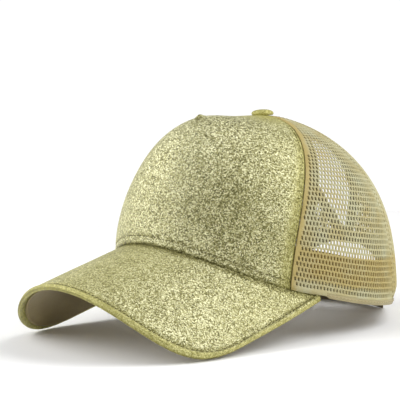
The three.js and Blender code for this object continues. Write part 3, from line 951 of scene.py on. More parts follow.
@dataclass
class FrontPanel(Part):
    """The stiff glitter front panel, with its dart, soft dents, lining and seam tapes."""

    wall: float = 1.6
    dart_foot: float = 0.645
    dart_depth: float = 0.6
    hem_row: float = 5.2
    seam_row: float = 1.7
    lining_wall: float = 0.7
    lining_depth: float = 2.9
    lining_foot: float = 30.0
    lining_top: float = 5.7
    tape_wall: float = 0.7
    tape_width: float = 9.0
    tape_stop: float = 19.0
    tape_depth: float = 1.4
    hem_stitch: Stitch = Stitch(pitch=3.3, length=1.9, width=0.55)
    seam_stitch: Stitch = Stitch(pitch=3.2)
    # Hollows and, below 0, swells: by the left seam, over the brow and at the dart's foot.
    dents: Sequence[Spot] = (
        Spot(1.8, radians(36), 0.26, 0.19, 0.13),
        Spot(0.9, radians(42), 0.14, 0.55, 0.22),
        Spot(-0.9, radians(12), 0.16, 0.42, 0.24),
        Spot(1.0, radians(-34), 0.22, 0.45, 0.2),
        Spot(-0.8, radians(-8), 0.3, 0.25, 0.16),
        Spot(-2.0, 0.0, 0.4, 0.68, 0.1),
        Spot(-2.3, 0.0, 0.05, 0.645, 0.022),
        Spot(1.9, 0.035, 0.02, 0.635, 0.014),
    )
    # Where the cloth lies in its own shade: at the dart's foot and in two of the hollows.
    shades: Sequence[Spot] = (
        Spot(1.0, 0.03, 0.03, 0.633, 0.02),
        Spot(0.5, radians(36), 0.3, 0.2, 0.16),
        Spot(0.25, radians(40), 0.16, 0.55, 0.22),
    )

    def edge(self, share: Array) -> Array:
        """The panel's edge on the left, as a direction at each share."""
        return self.form.beside(self.form.front_seam, -self.form.clearance / 2)(share)

    def _places(self, u: Array, v: Array) -> tuple[Array, Array]:
        """The direction and share of each place on the panel."""
        share = v * self.form.top_share(0)
        return (2 * u - 1) * self.edge(share), share

    def depth(self, angle: Array, share: Array) -> Array:
        """How far the cloth lies inside its even form, in millimetres."""
        high = share * self.form.length(angle)
        width = angle / np.maximum(1.02 - share, 0.05) * 0.35
        dart = smooth_step(self.dart_foot - 0.01, self.dart_foot + 0.04, share)
        dart = dart * bump(0, 0.02, width) * (1 - smooth_step(0.8, 0.95, share))
        edge = self.edge(share) - np.abs(angle)
        seam = 0.45 * bump(0.036, 0.012, edge) * smooth_step(0, 0.05, 0.96 - share)
        rolled = 0.5 * bump(0, 0.012, edge)
        hem = 0.5 * bump(self.hem_row, 1.0, high)
        tuck = 0.6 * (1 - smooth_step(0, 2.2, high))
        soft = sum(dent.at(angle, share) for dent in self.dents)
        return soft + self.dart_depth * dart + seam + rolled + hem + tuck

    def tones(self) -> dict[str, Place]:
        """Where the panel carries its painted highlight on the flakes, and painted shade where its
        cloth lies in its own shade.
        """

        # Painted highlight: palest about 20 degrees to the wearer's left of the front, fading by
        # the seams and towards the top.
        def pale(u: Array, v: Array) -> Array:
            angle, share = self._places(u, v)
            middle = 0.6 + 0.4 * bump(radians(20), radians(46), angle)
            sides = 0.3 + 0.7 * smooth_step(0.0, 0.12, self.edge(share) - np.abs(angle))
            return middle * (1 - smooth_step(0.74, 0.92, share)) * sides

        # Painted shade at the crease over the peak, along the hem row and the seams, down the dart
        # and in the hollows.
        def shade(u: Array, v: Array) -> Array:
            angle, share = self._places(u, v)
            high = share * self.form.length(angle)
            edge = self.edge(share) - np.abs(angle)
            crease = 0.9 * (1 - smooth_step(0.4, 2.4, high)) + 0.35 * bump(self.hem_row, 1.2, high)
            seam = 0.9 * (1 - smooth_step(0.0, 0.022, edge)) + 0.35 * bump(0.04, 0.014, edge)
            dart = 0.6 * smooth_step(self.dart_foot, self.dart_foot + 0.05, share) * (share < 0.9)
            soft = sum(spot.at(angle, share) for spot in self.shades)
            return soft + crease + seam + dart * bump(0, 0.012, angle)

        return {"pale": pale, "shade": shade}

    def build(self) -> None:
        """Makes the panel, its stitches, its lining and both seam tapes."""
        maker, form = self.maker, self.form

        def place(u: Array, v: Array) -> Array:
            angle, share = self._places(u, v)
            depth = self.depth(angle, share)[:, None]
            return form.point(angle, share, 0) - form.normal(angle, share) * depth

        size = (210, form.length(0))
        tones = self.tones()
        cloth = Cloth("front_panel", "glitter", (230, 150), size, self.wall, tones=tones)
        panel = maker.cloth(cloth, place)
        across = np.linspace(-1, 1, 400)
        angle = across * self.edge(np.full_like(across, 0.03)) * 0.97
        share = self.hem_row / form.length(angle)
        depth = self.depth(angle, share) - 0.12
        maker.row("Front_hem_stitches", angle, share, depth, self.hem_stitch)
        share = np.linspace(0.035, 0.95, 300)
        angle = self.edge(share) - form.width_angle(self.seam_row, self.edge(share), share)
        for side in Side:
            name = f"Front_seam_stitches_{side.word}"
            maker.row(name, side.value * angle, share, 0.3, self.seam_stitch)
        self._lining()
        for side in Side:
            self._seam_tape(side)

    def _lining(self) -> None:
        """Makes the panel's inner lining."""
        form = self.form

        def place(u: Array, v: Array) -> Array:
            length = form.length((2 * u - 1) * self.edge(v))
            low, high = self.lining_foot / length, 1 - self.lining_top / length
            share = low + (high - low) * v
            angle = (2 * u - 1) * self.edge(share)
            slack = 0.105 * np.sin(angle * 9) * np.sin(share * 11)
            return form.point(angle, share, self.lining_depth + slack)

        cloth = Cloth("front_lining", "lining", (90, 60), (190, 130), self.lining_wall)
        lining = self.maker.cloth(cloth, place)

    def _seam_tape(self, side: Side) -> None:
        """Makes the tape inside a front seam."""
        form = self.form
        near = form.beside(form.front_seam, form.clearance)
        far = form.beside(form.front_seam, form.clearance + self.tape_width)

        def place(u: Array, v: Array) -> Array:
            share = v * (1 - self.tape_stop / form.length(pi / 2))
            angle = near(share) + (far(share) - near(share)) * u
            crown = 0.12 * (2 * u - 1) ** 2
            return side.mirrored(form.point(angle, share, self.tape_depth + crown))

        node, flip = f"front_seam_tape_{side.word}", side is Side.RIGHT
        cloth = Cloth(node, "tape", (8, 90), (9, 140), self.tape_wall, flip=flip)
        tape = self.maker.cloth(cloth, place)


@dataclass
class Outline:
    """A taped opening in the back, as points across and up the cloth from its middle."""

    points: Array
    closed: bool
    mitre: float = 3.0
    leg: float = 40.0

    def spread(self, distance: float) -> Array:
        """The points moved outwards by a distance, with mitred corners."""
        pts = self.points
        before, after = np.roll(pts, 1, axis=0), np.roll(pts, -1, axis=0)
        if not self.closed:
            before[0], after[-1] = 2 * pts[0] - pts[1], 2 * pts[-1] - pts[-2]

        def outward(a: Array, b: Array) -> Array:
            return unit(np.column_stack([b[:, 1] - a[:, 1], a[:, 0] - b[:, 0]]))

        first, second = outward(before, pts), outward(pts, after)
        middle = unit(first + second)
        reach = distance / (middle * first).sum(axis=1)
        return pts + middle * np.minimum(reach, self.mitre * abs(distance))[:, None]

    def holds(self, places: Array, distance: float) -> Array:
        """Whether each place lies inside the outline moved outwards by a distance."""
        pts = self.spread(distance)
        if not self.closed:
            pts = np.vstack([pts, pts[-1] - [0, self.leg], pts[0] - [0, self.leg]])
        a, b = pts, np.roll(pts, -1, axis=0)
        x, y = places[:, :1], places[:, 1:]
        crosses = (a[:, 1] > y) != (b[:, 1] > y)
        rise = np.where(b[:, 1] == a[:, 1], 1e-9, b[:, 1] - a[:, 1])
        left = x < a[:, 0] + (b[:, 0] - a[:, 0]) * (y - a[:, 1]) / rise
        return (crosses & left).sum(axis=1) % 2 == 1


@dataclass
class BackOpenings(Part):
    """The ponytail opening and the arch, with their folded tapes and stitch rows."""

    tape_width: float = 7.5
    arch_half_width: float = 38.0
    arch_top: float = 46.5
    arch_straight: float = 18.0
    above_arch: float = 0.6
    ponytail_half_width: float = 20.0
    ponytail_shoulder: float = 88.0
    ponytail_widest: float = 102.0
    ponytail_top: float = 132.0
    fold: float = 0.8
    depth: float = 0.5
    swell: float = 0.18
    wall: float = 0.6
    rows: Sequence[tuple[str, float]] = (("inner", 1.7), ("outer", 6.0))
    row_depth: float = -0.72
    stitch: Stitch = Stitch("pale_stitch", width=0.42)

    def __post_init__(self) -> None:
        """Works out both outlines."""
        arc = np.linspace(0, pi, 90)
        sides = np.linspace(0, 1, 24)[:-1]
        wide, straight = self.arch_half_width, self.arch_straight
        right = np.column_stack([np.full(len(sides), wide), sides * straight])
        rise = self.arch_top - straight
        bow = np.column_stack([wide * np.cos(arc), straight + rise * np.sin(arc)])
        self.arch = Outline(np.vstack([right, bow, right[::-1] * [-1, 1]]), False)
        tip = self.arch_top + self.tape_width + self.above_arch
        s = np.linspace(0, 1, 70)[:-1]
        wide, widest = self.ponytail_half_width, self.ponytail_widest
        run_y = curve(s, tip, self.ponytail_shoulder, widest)
        run = np.column_stack([curve(s, 0, wide, wide), run_y])
        rise = self.ponytail_top - widest
        top = np.column_stack([wide * np.cos(arc), widest + rise * np.sin(arc)])
        self.ponytail = Outline(np.vstack([run, top, (run[::-1] * [-1, 1])[:-1]]), True)

    def arch_height(self, across: Array, distance: float) -> Array:
        """Height of the arch moved outwards by a distance, at a width across."""
        pts = self.arch.spread(distance)
        order = np.argsort(pts[:, 0])
        return np.interp(across, pts[order, 0], pts[order, 1])

    def holds(self, places: Array, distance: float) -> Array:
        """Whether each place lies in either opening moved outwards by a distance."""
        return self.arch.holds(places, distance) | self.ponytail.holds(places, distance)

    def _section(self, v: Array) -> tuple[Array, Array]:
        """The folded tape's section: distance from the opening and depth, outside to inside."""
        flat = self.tape_width - self.fold
        bend = pi * self.fold
        run = v * (2 * flat + bend)
        turn = np.clip((run - flat) / self.fold, 0, pi)
        distance = np.where(run < flat, self.tape_width - run, self.fold - self.fold * np.sin(turn))
        distance = np.where(run > flat + bend, self.fold + run - flat - bend, distance)
        depth = self.depth - self.fold * np.cos(turn)
        swell = self.swell * np.sin(pi * np.clip(distance / self.tape_width, 0, 1))
        return distance, depth - np.where(turn < pi / 2, swell, -swell)

    def _tape(self, outline: Outline, name: str, node: str, over_arch: bool) -> None:
        """Makes one folded tape and its two stitch rows."""
        maker, form = self.maker, self.form
        count = len(outline.points)
        columns = count if outline.closed else count - 1
        steps = np.linspace(0, self.tape_width, 24)
        rings = np.array([outline.spread(step) for step in steps])

        def place(u: Array, v: Array) -> Array:
            distance, depth = self._section(v)
            k = np.round(u * columns).astype(int) % count
            at = distance / self.tape_width * (len(steps) - 1)
            low = np.clip(at.astype(int), 0, len(steps) - 2)
            part = (at - low)[:, None]
            flat = rings[low, k] * (1 - part) + rings[low + 1, k] * part
            if over_arch:
                floor = self.arch_height(flat[:, 0], self.tape_width) + 0.15
                flat[:, 1] = np.maximum(flat[:, 1], floor)
            return form.back_point(flat[:, 0], flat[:, 1], depth)

        size = (columns * 1.4, 2 * self.tape_width)
        bm = maker.grid(Cloth(node, "binding", (columns, 22), size), place)
        bmesh.ops.remove_doubles(bm, verts=bm.verts[:], dist=0.02 * MM)
        bmesh.ops.dissolve_degenerate(bm, edges=bm.edges[:], dist=0.02 * MM)
        tape = maker.piece(name, bm, "binding", node, flip=True)
        maker.thicken(tape, self.wall, 0.0)
        flat = (0.0165, round(run_length(outline.points)[-1] * MM + 0.02, 3))
        for word, distance in self.rows:
            row = outline.spread(distance)
            floor = self.arch_height(row[:, 0], self.tape_width + 1.0) if over_arch else 0.8
            across, height = row[row[:, 1] > floor].T
            share = height / form.length(pi)
            facing = form.normal(form.back_angle(across, share), share)
            facing[:, 0] *= np.where(across < 0, -1, 1)
            path = form.back_point(across, height, self.row_depth)
            maker.stitches(f"{name}_stitches_{word}", path, facing, self.stitch)

    def build(self) -> None:
        """Makes both tapes."""
        self._tape(self.ponytail, "Ponytail_tape", "ponytail_binding", True)
        self._tape(self.arch, "Arch_tape", "arch_binding", False)


@dataclass
class Lattice:
    """The corners of a net panel's cells, in rows from its foot.

    Attributes:
        columns: Cells across.
        rows: Cells up.
        across: Cloth width of each corner from the panel's middle.
        wide: Half the panel's width there.
        spot: Each corner's place across and up the back, for the openings.
        points: Each corner in millimetres.
    """

    columns: int
    rows: int
    across: Array
    wide: Array
    spot: Array
    points: Array

    def outside(self, corners: Sequence[int]) -> bool:
        """Whether a cell lies past the panel's front or back edge."""
        slack = 1e-6
        across, wide = self.across[corners], self.wide[corners]
        return bool(np.all(across >= wide - slack) or np.all(across <= slack - wide))

    def room(self, corners: Sequence[int]) -> float:
        """The least width from a cell's corners to the panel's edges."""
        across, wide = self.across[corners], self.wide[corners]
        return float(np.min(wide - np.abs(np.clip(across, -wide, wide))))


@dataclass
class Net(Part):
    """The four net panels, knitted in staggered rows of tall holes."""

    openings: BackOpenings
    column_pitch: float = 2.3
    row_pitch: float = 3.4
    strand: float = 0.64
    zigzag: float = 0.42
    border: float = 0.7
    grain_slope: float = 0.3
    bow: float = 1.1e-6
    wall: float = 1.0
    depth: float = 0.5
    solid_rows: int = 5
    under_tape: float = 3.2
    beside_tape: float = 0.4
    open_share: float = 0.62
    # Painted colour on the net: the sweatband's tan where it lies behind the yarn, and painted
    # shade by the front seam.
    band_painted_tint: float = 0.2
    seam_painted_shade: float = 0.34
    samples: int = 60
    seam_rows: Sequence[tuple[str, float]] = (("fore", -1.9), ("aft", 1.9))
    stitch: Stitch = Stitch("pale_stitch", length=2.0, width=0.4)

    def panel(self, side: Side, near: Line, far: Line, back: bool) -> None:
        """Makes one panel.

        Args:
            side: The side that it is on.
            near: Its front edge as a direction at each share.
            far: Its back edge as a direction at each share.
            back: Whether it is a back panel, which the openings are cut into.
        """
        maker, form = self.maker, self.form
        part = "back" if back else "side"
        name, node = f"{part.capitalize()}_net_{side.word}", f"{part}_mesh_{side.word}"
        foot = np.array(0.1)
        middle = float((near(foot) + far(foot)) / 2)
        length, top = float(form.length(middle)), float(form.top_share(middle))
        rows = round(length * top / self.row_pitch)
        half = self._spread(near, far, np.linspace(0, top, self.samples))[1][:, -1] / 2
        step = self.column_pitch / 2
        columns = 2 * ceil(half.max() / step)
        j, i = (k.ravel() for k in np.mgrid[0 : rows + 1, 0 : columns + 1])
        across = (i - columns / 2) * step
        inside = (j > 0) & (j < rows)
        up = j + np.where((i + j) % 2 == 0, 1, -1) * self.zigzag / self.row_pitch / 2 * inside
        share = up / rows * top
        if back:
            share = share - self.grain_slope * across / length * np.sin(pi * share) ** 2
        else:
            share = share * (1 - self.bow * across**2 * inside)
        angles, widths = self._spread(near, far, share)
        wide = widths[:, -1] / 2
        kept = np.clip(across, -wide, wide) + wide
        angle = np.array([np.interp(*row) for row in zip(kept, widths, angles)])
        spot = np.column_stack([form.face(angle, share)[:, 0], share * form.length(pi)])
        points = side.mirrored(form.point(angle, share, self.depth))
        lattice = Lattice(columns, rows, across, wide, np.abs(spot), points)

        # The net's shade values: a painted tan tint over the sweatband, as its light through the
        # yarn, and painted shade along the side panels' front seam.
        def shade(u: Array, v: Array) -> Array:
            widths = self._spread(near, far, v * top)[1][:, -1]
            from_near = (u - 0.5) * columns * step + widths / 2
            high = v * top * length
            on_band = smooth_step(8, 11, high) * (1 - smooth_step(27, 29, high))
            by_seam = (1 - smooth_step(0.5, 4.0, from_near)) * (not back)
            return self.band_painted_tint * on_band + self.seam_painted_shade * by_seam

        size = (columns * step, length * top)
        cloth = Cloth(node, "net", (columns, rows), size, tones={"shade": shade})
        bm = maker.grid(cloth, lambda u, v: lattice.points)
        self._knit(bm, lattice, back)
        net = maker.piece(name, bm, "net", node, side is Side.RIGHT)
        group = net.vertex_groups.new(name="strand")
        marks = np.zeros(len(net.data.vertices), np.float32)
        net.data.attributes["strand_weight"].data.foreach_get("value", marks)
        group.add([int(k) for k in np.flatnonzero(marks > 0.5)], 1.0, "REPLACE")
        maker.thicken(net, self.wall, 0.0, "strand")
        area = float((half[1:] + half[:-1]).sum() * length * top / (self.samples - 1)) * MM * MM
        area *= self.open_share if back else 1
        size = (round(2 * half.max() * MM, 4), round(length * MM, 4))

    def _spread(self, near: Line, far: Line, share: Array) -> tuple[Array, Array]:
        """Directions across the panel at each share, and their cloth width from its near edge."""
        part, least = np.linspace(0, 1, 33), 0.1
        start, end = near(share)[:, None], far(share)[:, None]
        angles = start + (end - start) * part
        widths = run_length(self.form.face(angles, share[:, None]))
        return angles, np.maximum(widths, least * part)

    def _knit(self, bm: bmesh.types.BMesh, lattice: Lattice, back: bool) -> None:
        """Joins pairs of cells, drops what lies outside the panel and opens the holes.

        Args:
            bm: The panel's cells, which are changed.
            lattice: Their corners.
            back: Whether the openings are cut into it.
        """
        around = lattice.columns + 1
        hole_corners = 6
        strand = bm.verts.layers.float.new("strand_weight")
        index = {vert: vert.index for vert in bm.verts}
        for vert in bm.verts:
            vert[strand] = 1.0
        corners = {face: [index[v] for v in face.verts] for face in bm.faces}
        outside = {face for face in bm.faces if lattice.outside(corners[face])}
        merge = []
        for face in bm.faces:
            row, left = divmod(min(corners[face]), around)
            if face in outside or (left + row) % 2:
                continue
            for edge in face.edges:
                others = [f for f in edge.link_faces if f is not face and f not in outside]
                if others and all(index[v] % around == left + 1 for v in edge.verts):
                    merge.append(edge)
        bmesh.ops.delete(bm, geom=[f for f in bm.faces if f in outside], context="FACES")

        def held(faces: Sequence[bmesh.types.BMFace], distance: float) -> Array:
            middles = [np.mean([lattice.spot[index[v]] for v in f.verts], axis=0) for f in faces]
            return self.openings.holds(np.array(middles), distance)

        if back:
            faces = list(bm.faces)
            cut = held(faces, self.openings.tape_width - self.under_tape)
            gone = [face for face, inside in zip(faces, cut) if inside]
            merge = [edge for edge in merge if not set(gone) & set(edge.link_faces)]
            bmesh.ops.delete(bm, geom=gone, context="FACES")
        bmesh.ops.dissolve_edges(bm, edges=[e for e in merge if e.is_valid], use_verts=False)
        holes = []
        for face in bm.faces:
            places = [index[v] for v in face.verts]
            levels = {place // around for place in places}
            within = min(levels) > 0 and max(levels) < lattice.rows - self.solid_rows
            if within and len(places) == hole_corners and lattice.room(places) > self.border:
                holes.append(face)
        if back:
            near_tape = held(holes, self.openings.tape_width + self.beside_tape)
            holes = [face for face, near in zip(holes, near_tape) if not near]
        strand_width = self.strand * MM
        bmesh.ops.inset_individual(bm, faces=holes, thickness=strand_width, use_even_offset=True)
        for vert in bm.verts:
            if vert not in index:
                vert[strand] = 0.0
        bmesh.ops.delete(bm, geom=holes, context="FACES")

    def build(self) -> None:
        """Makes the two side panels and the two back panels, with the seams between them."""
        form = self.form
        gap, seam = form.clearance / 2, form.back_seam

        def centre(share: Array) -> Array:
            share = np.asarray(share, float)
            return pi - form.width_angle(gap, np.full_like(share, pi), share)

        for side in Side:
            self.panel(side, form.beside(form.front_seam, gap), form.beside(seam, -gap), False)
            self.panel(side, form.beside(seam, gap), centre, True)
            share = np.linspace(0.02, 0.94, 300)
            for word, width in self.seam_rows:
                name = f"Back_seam_stitches_{word}_{side.word}"
                angle = form.beside(seam, width)(share)
                self.maker.row(name, angle, share, -0.05, self.stitch, side)


@dataclass
class RimTrim(Part):
    """The sweatband and the hem tapes folded round the net's lower edge."""

    openings: BackOpenings
    band_height: float = 28.0
    band_depth: float = 2.65
    band_wall: float = 1.0
    band_edge: float = 0.35
    hem_gap: float = 9.0
    hem_wall: float = 0.6
    hem_row: float = 2.0
    hem_depth: float = 1.75
    free_from: float = radians(70)
    free_to: float = radians(74)
    # The hem tape's depth and height, from its top inside to its top outside.
    profile: Sequence[tuple[float, float]] = (
        (1.75, 10.0),
        (1.75, 6.0),
        (1.75, 3.0),
        (1.7, 1.0),
        (1.4, 0.1),
        (0.8, -0.35),
        (0.2, -0.35),
        (-0.2, 0.1),
        (-0.35, 0.9),
        (-0.35, 2.8),
    )
    stitch: Stitch = Stitch("pale_stitch", 2.8, 1.9, 0.4)

    def build(self) -> None:
        """Makes the sweatband and both hem tapes."""
        maker, form = self.maker, self.form
        reach = self.openings.arch_half_width + self.openings.tape_width + form.clearance

        def place(u: Array, v: Array) -> Array:
            share = v * self.band_height / form.length((2 * u - 1) * form.back_angle(reach, 0 * u))
            angle = (2 * u - 1) * form.back_angle(reach, share)
            pad = 0.3 * np.sin(pi * np.clip(v * 1.15, 0, 1)) + 0.12 * np.sin(angle * 23)
            return form.point(angle, share, self.band_depth + pad * v)

        size = (480, self.band_height)
        cloth = Cloth("sweatband", "band", (260, 14), size, self.band_wall)
        piece = maker.cloth(cloth, place)
        maker.round_edges(piece, self.band_edge)
        for side in Side:
            self._hem(side, reach)

    def _hem(self, side: Side, reach: float) -> None:
        """Makes one hem tape: inside the net, under its edge and a little way up outside."""
        maker, form = self.maker, self.form
        start = form.beside(form.front_seam, 2 * form.clearance + self.hem_gap)
        depths, heights = np.array(self.profile).T
        steps = np.linspace(0, 1, len(depths))

        def place(u: Array, v: Array) -> Array:
            depth, height = np.interp(v, steps, depths), np.interp(v, steps, heights)
            near, far = start(0 * u), form.back_angle(reach, 0 * u)
            angle = near + (far - near) * u
            free = smooth_step(self.free_from, self.free_to, angle)
            depth = self.hem_depth + (depth - self.hem_depth) * free
            raised = np.maximum(height, 0.6 * (1 - free) + height * free)
            height = np.where(free < 1, raised, height)
            points = form.point(angle, np.maximum(height, 0) / form.length(angle), depth)
            points[:, 2] += np.minimum(height, 0)
            return side.mirrored(points)

        node, flip = f"hem_tape_{side.word}", side is Side.LEFT
        cloth = Cloth(node, "hem", (150, 18), (150, 16), self.hem_wall, 0.0, flip)
        hem = maker.cloth(cloth, place)
        end = float(form.back_angle(reach, np.array(0.0))) - 0.01
        angle = np.linspace(self.free_to, end, 300)
        share = self.hem_row / form.length(angle)
        maker.row(f"{cloth.name}_stitches", angle, share, -0.68, self.stitch, side)


@dataclass
class Peak(Part):
    """The curved peak: glitter cloth over a stiff board, with a rolled edge and a lining.

    Its section runs over the top up to the share `over`, and round the edge up to `round_it`.
    """

    wall: float = 3.2
    groove_at: float = 4.4
    groove_depth: float = 0.8
    groove_half: float = 0.9
    join_depth: float = 0.55
    over: float = 0.46
    round_it: float = 0.54
    lining_wall: float = 0.6
    lining_gap: float = 0.45
    lining_inset: float = 4.0
    lining_end: float = radians(60)
    stitch: Stitch = Stitch()

    def _section(self, v: Array, width: Array) -> tuple[Array, Array]:
        """The peak's section, from the crown over the top and round the edge to below.

        Args:
            v: From 0 at the top against the crown to 1 below against the crown.
            width: From the crown to the outer edge.

        Returns:
            The share of the way out and the depth below the top.
        """
        radius = self.wall / 2
        on_top, below = v < self.over, v > self.round_it
        flat = np.maximum(width - radius, 0.5)
        top = np.clip(v / self.over, 0, 1)
        turn = np.clip((v - self.over) / (self.round_it - self.over), 0, 1) * pi
        under = np.clip((v - self.round_it) / (1 - self.round_it), 0, 1)
        run = np.where(on_top, flat * (1 - (1 - top) ** 1.6), flat + radius * np.sin(turn))
        run = np.where(below, flat * (1 - under**1.3), run)
        depth = np.where(on_top, 0, radius - radius * np.cos(turn))
        depth = np.where(below, self.wall, depth)
        join = self.join_depth * bump(pi * 0.55, 0.4, turn)
        run = run - join * (v > self.over) * (v < self.round_it)
        groove = self.groove_depth * bump(self.groove_at, self.groove_half, width - run)
        bead = -0.4 * bump(2.1, 1.5, width - run)
        return run / width, depth + np.where(on_top, groove + bead, -0.6 * groove * below)

    def tones(self) -> dict[str, Place]:
        """Where the peak carries its painted highlight on the flakes, and painted shade where its
        cloth lies in its own shade.
        """

        # Painted highlight: palest on the top halfway towards the wearer's left end, fading over
        # the rolled edge and below.
        def pale(u: Array, v: Array) -> Array:
            middle = 0.5 + 0.35 * bump(0.5, 0.42, 2 * u - 1)
            return middle * (1 - 0.7 * smooth_step(0.36, 0.44, v))

        # Painted shade in the groove, along the fold of the edge, in the crease against the crown
        # and on the underside.
        def shade(u: Array, v: Array) -> Array:
            width = self.form.peak_span(2 * u - 1)[2]
            out = self._section(v, width)[0] * width
            groove = 0.55 * bump(self.groove_at, self.groove_half, width - out) * (v < self.over)
            join = 0.9 * bump(0.5, 0.016, v)
            crease = 0.9 * (1 - smooth_step(2.4, 5.5, out)) * (v < 0.4)
            return groove + join + crease + 0.3 * (v > 0.52)

        return {"pale": pale, "shade": shade}

    def build(self) -> None:
        """Makes the peak, its stitch row and its lining."""
        maker, form = self.maker, self.form

        def place(u: Array, v: Array) -> Array:
            across = 2 * u - 1
            out, depth = self._section(v, form.peak_span(across)[2])
            ripple = 0.22 * np.sin(across * 5.1 + out * 2.0) * np.sin(out * 4.2)
            points = form.peak_point(across, out, depth, 0)
            points[:, 2] += form.crest_height + ripple * np.clip(out, 0, 1)
            return points

        cloth = Cloth("peak", "glitter", (240, 130), (270, 150), tones=self.tones())
        bm = maker.grid(cloth, place)
        bmesh.ops.remove_doubles(bm, verts=bm.verts[:], dist=0.01 * MM)
        bmesh.ops.holes_fill(bm, edges=[e for e in bm.edges if e.is_boundary], sides=0)
        bmesh.ops.recalc_face_normals(bm, faces=bm.faces[:])
        maker.piece("Peak", bm, "glitter", "peak")
        across = np.linspace(-0.985, 0.985, 500)
        out = 1 - self.groove_at / form.peak_span(across)[2]
        good = out > 0.35
        row = form.peak_point(across[good], out[good], self.groove_depth - 0.2, 0)
        facing = form.peak_normal(row[:, 0], row[:, 1])
        row[:, 2] += form.crest_height
        maker.stitches("Peak_edge_stitches", row, facing, self.stitch)
        self._lining()

    def _lining(self) -> None:
        """Makes the cloth under the peak."""
        form = self.form

        def place(u: Array, v: Array) -> Array:
            across = (2 * u - 1) * self.lining_end / form.peak_end
            edge = bump(0.0, 0.03, v) + bump(1.0, 0.03, v)
            depth = self.wall + self.lining_gap + 0.25 * edge
            points = form.peak_point(across, v, depth, self.lining_inset)
            points[:, 2] += form.crest_height
            return points

        size, title = (200, 55), "Peak_lining"
        cloth = Cloth(
            "peak_underside", "underside", (120, 40), size, self.lining_wall, title=title
        )
        lining = self.maker.cloth(cloth, place)


@dataclass
class Straps(Part):
    """The two webbing bands that close the arch."""

    width: float = 20.0
    margin: float = 0.25
    wall: float = 0.9
    edge: float = 0.3
    outer_depth: float = 2.2
    inner_depth: float = 3.75
    root: float = 44.0
    free: float = -34.0
    overlap: float = 46.0
    row_in: float = 0.45
    stitch: Stitch = Stitch("ochre", 2.0, 2.6, 0.9)

    def _point(self, across: Array, height: Array, depth: Array) -> Array:
        """Points of an upright band behind the arch."""
        form = self.form
        foot = form.back_angle(across, 0 * across)
        at_x, at_y = form.rim_plan(foot)
        above = height + form.table_height(at_y)
        share = np.maximum(0, above - form.rim_height(foot, 0 * foot)) / form.length(foot)
        plan = form.face(form.back_angle(across, share), share)
        in_x, in_y = form.rim_plan(foot, depth)
        x, y = plan[:, 0] + in_x - at_x, plan[:, 1] + in_y - at_y
        return np.column_stack([np.where(across < 0, -1, 1) * x, y, height + form.table_height(y)])

    def _strap(self, node: str, start: float, end: float, depth: float) -> None:
        """Makes one band with its stitch row."""
        maker = self.maker

        def place(u: Array, v: Array) -> Array:
            across = start + (end - start) * u
            height = self.margin + v * (self.width - 2 * self.margin)
            wave = 0.24 * np.sin(across * 0.16 + 1.0) * v
            edge = 0.18 * (bump(0, 0.05, v) + bump(1, 0.05, v))
            return self._point(across, height + wave, depth + edge)

        size = (end - start, self.width)
        cloth = Cloth(node, "strap", (90, 20), size, self.wall, flip=True)
        strap = maker.cloth(cloth, place)
        maker.round_edges(strap, self.edge)
        flat = (round((end - start) * 1.03) * MM, 0.02)
        across = np.linspace(start + 0.5, end - 0.5, 200)
        height = np.full_like(across, self.width - 2 * self.margin)
        path = self._point(across, height, depth + self.row_in)
        up = np.tile([0.0, 0.0, 1.0], (len(across), 1))
        maker.stitches(f"{cloth.name}_edge", path, up, self.stitch)

    def build(self) -> None:
        """Makes both bands."""
        self._strap("strap_outer", self.free, self.root, self.outer_depth)
        self._strap("strap_inner", -self.root, self.free + self.overlap, self.inner_depth)


@dataclass
class Button(Part):
    """The covered button on top, with its post and the disc that holds it inside."""

    radius: float = 7.4
    side: float = 1.7
    dome: float = 3.7
    post: float = 1.8
    back_radius: float = 5.0
    back_wall: float = 1.0

    def _section(self, fall: float) -> list[tuple[float, float]]:
        """The button's section, as radius and height from the crown's top.

        Args:
            fall: How far the crown has fallen away at the button's edge.

        Returns:
            The points from the bottom to the top of its axis.
        """
        gap = self.form.clearance
        under, skirt = -self.form.front_wall - gap, gap - fall
        rise = self.dome - self.side + fall
        return [
            (0, under - self.back_wall),
            (self.back_radius - 0.3, under - self.back_wall),
            (self.back_radius, under - self.back_wall + 0.3),
            (self.back_radius, under),
            (self.post, under),
            (self.post, gap),
            (self.radius - 0.9, skirt),
            (self.radius - 0.25, skirt + 0.3),
            (self.radius, skirt + 0.9),
            *(
                (self.radius * cos(a) ** 0.9, self.side - fall + rise * sin(a))
                for a in np.linspace(0, pi / 2, 9)[:-1]
            ),
            (0, self.dome),
        ]

    def build(self) -> None:
        """Spins the button's section round its axis and gathers its cloth at the edge."""
        form = self.form
        length = form.length(pi / 2)
        foot = form.face(np.array(pi / 2), np.array(1 - self.radius / length))
        fall = form.height - float(foot[2])
        bm = bmesh.new()
        verts = [bm.verts.new((x, 0, z)) for x, z in self._section(fall)]
        geom = verts + [bm.edges.new(pair) for pair in zip(verts, verts[1:])]
        turn = {"cent": (0, 0, 0), "axis": (0, 0, 1), "angle": 2 * pi, "steps": 48}
        bmesh.ops.spin(bm, geom=geom, use_merge=True, **turn)
        bmesh.ops.remove_doubles(bm, verts=bm.verts[:], dist=0.01)
        bmesh.ops.recalc_face_normals(bm, faces=bm.faces[:])
        for vert in bm.verts:
            x, y, z = vert.co
            around, out = atan2(y, x), hypot(x, y)
            gather = 0.12 * cos(11 * around + 0.6) + 0.08 * cos(17 * around)
            edge = exp(-(((out - self.radius) / 1.6) ** 2)) * (z > form.clearance - fall)
            scale = 1 - 0.24 * edge * abs(gather)
            point = np.array([[x * scale, y * scale, z + form.height + gather * edge * 0.5]])
            vert.co = form.placed(point)[0]
        self.maker.piece("Button", bm, "glitter", "button")


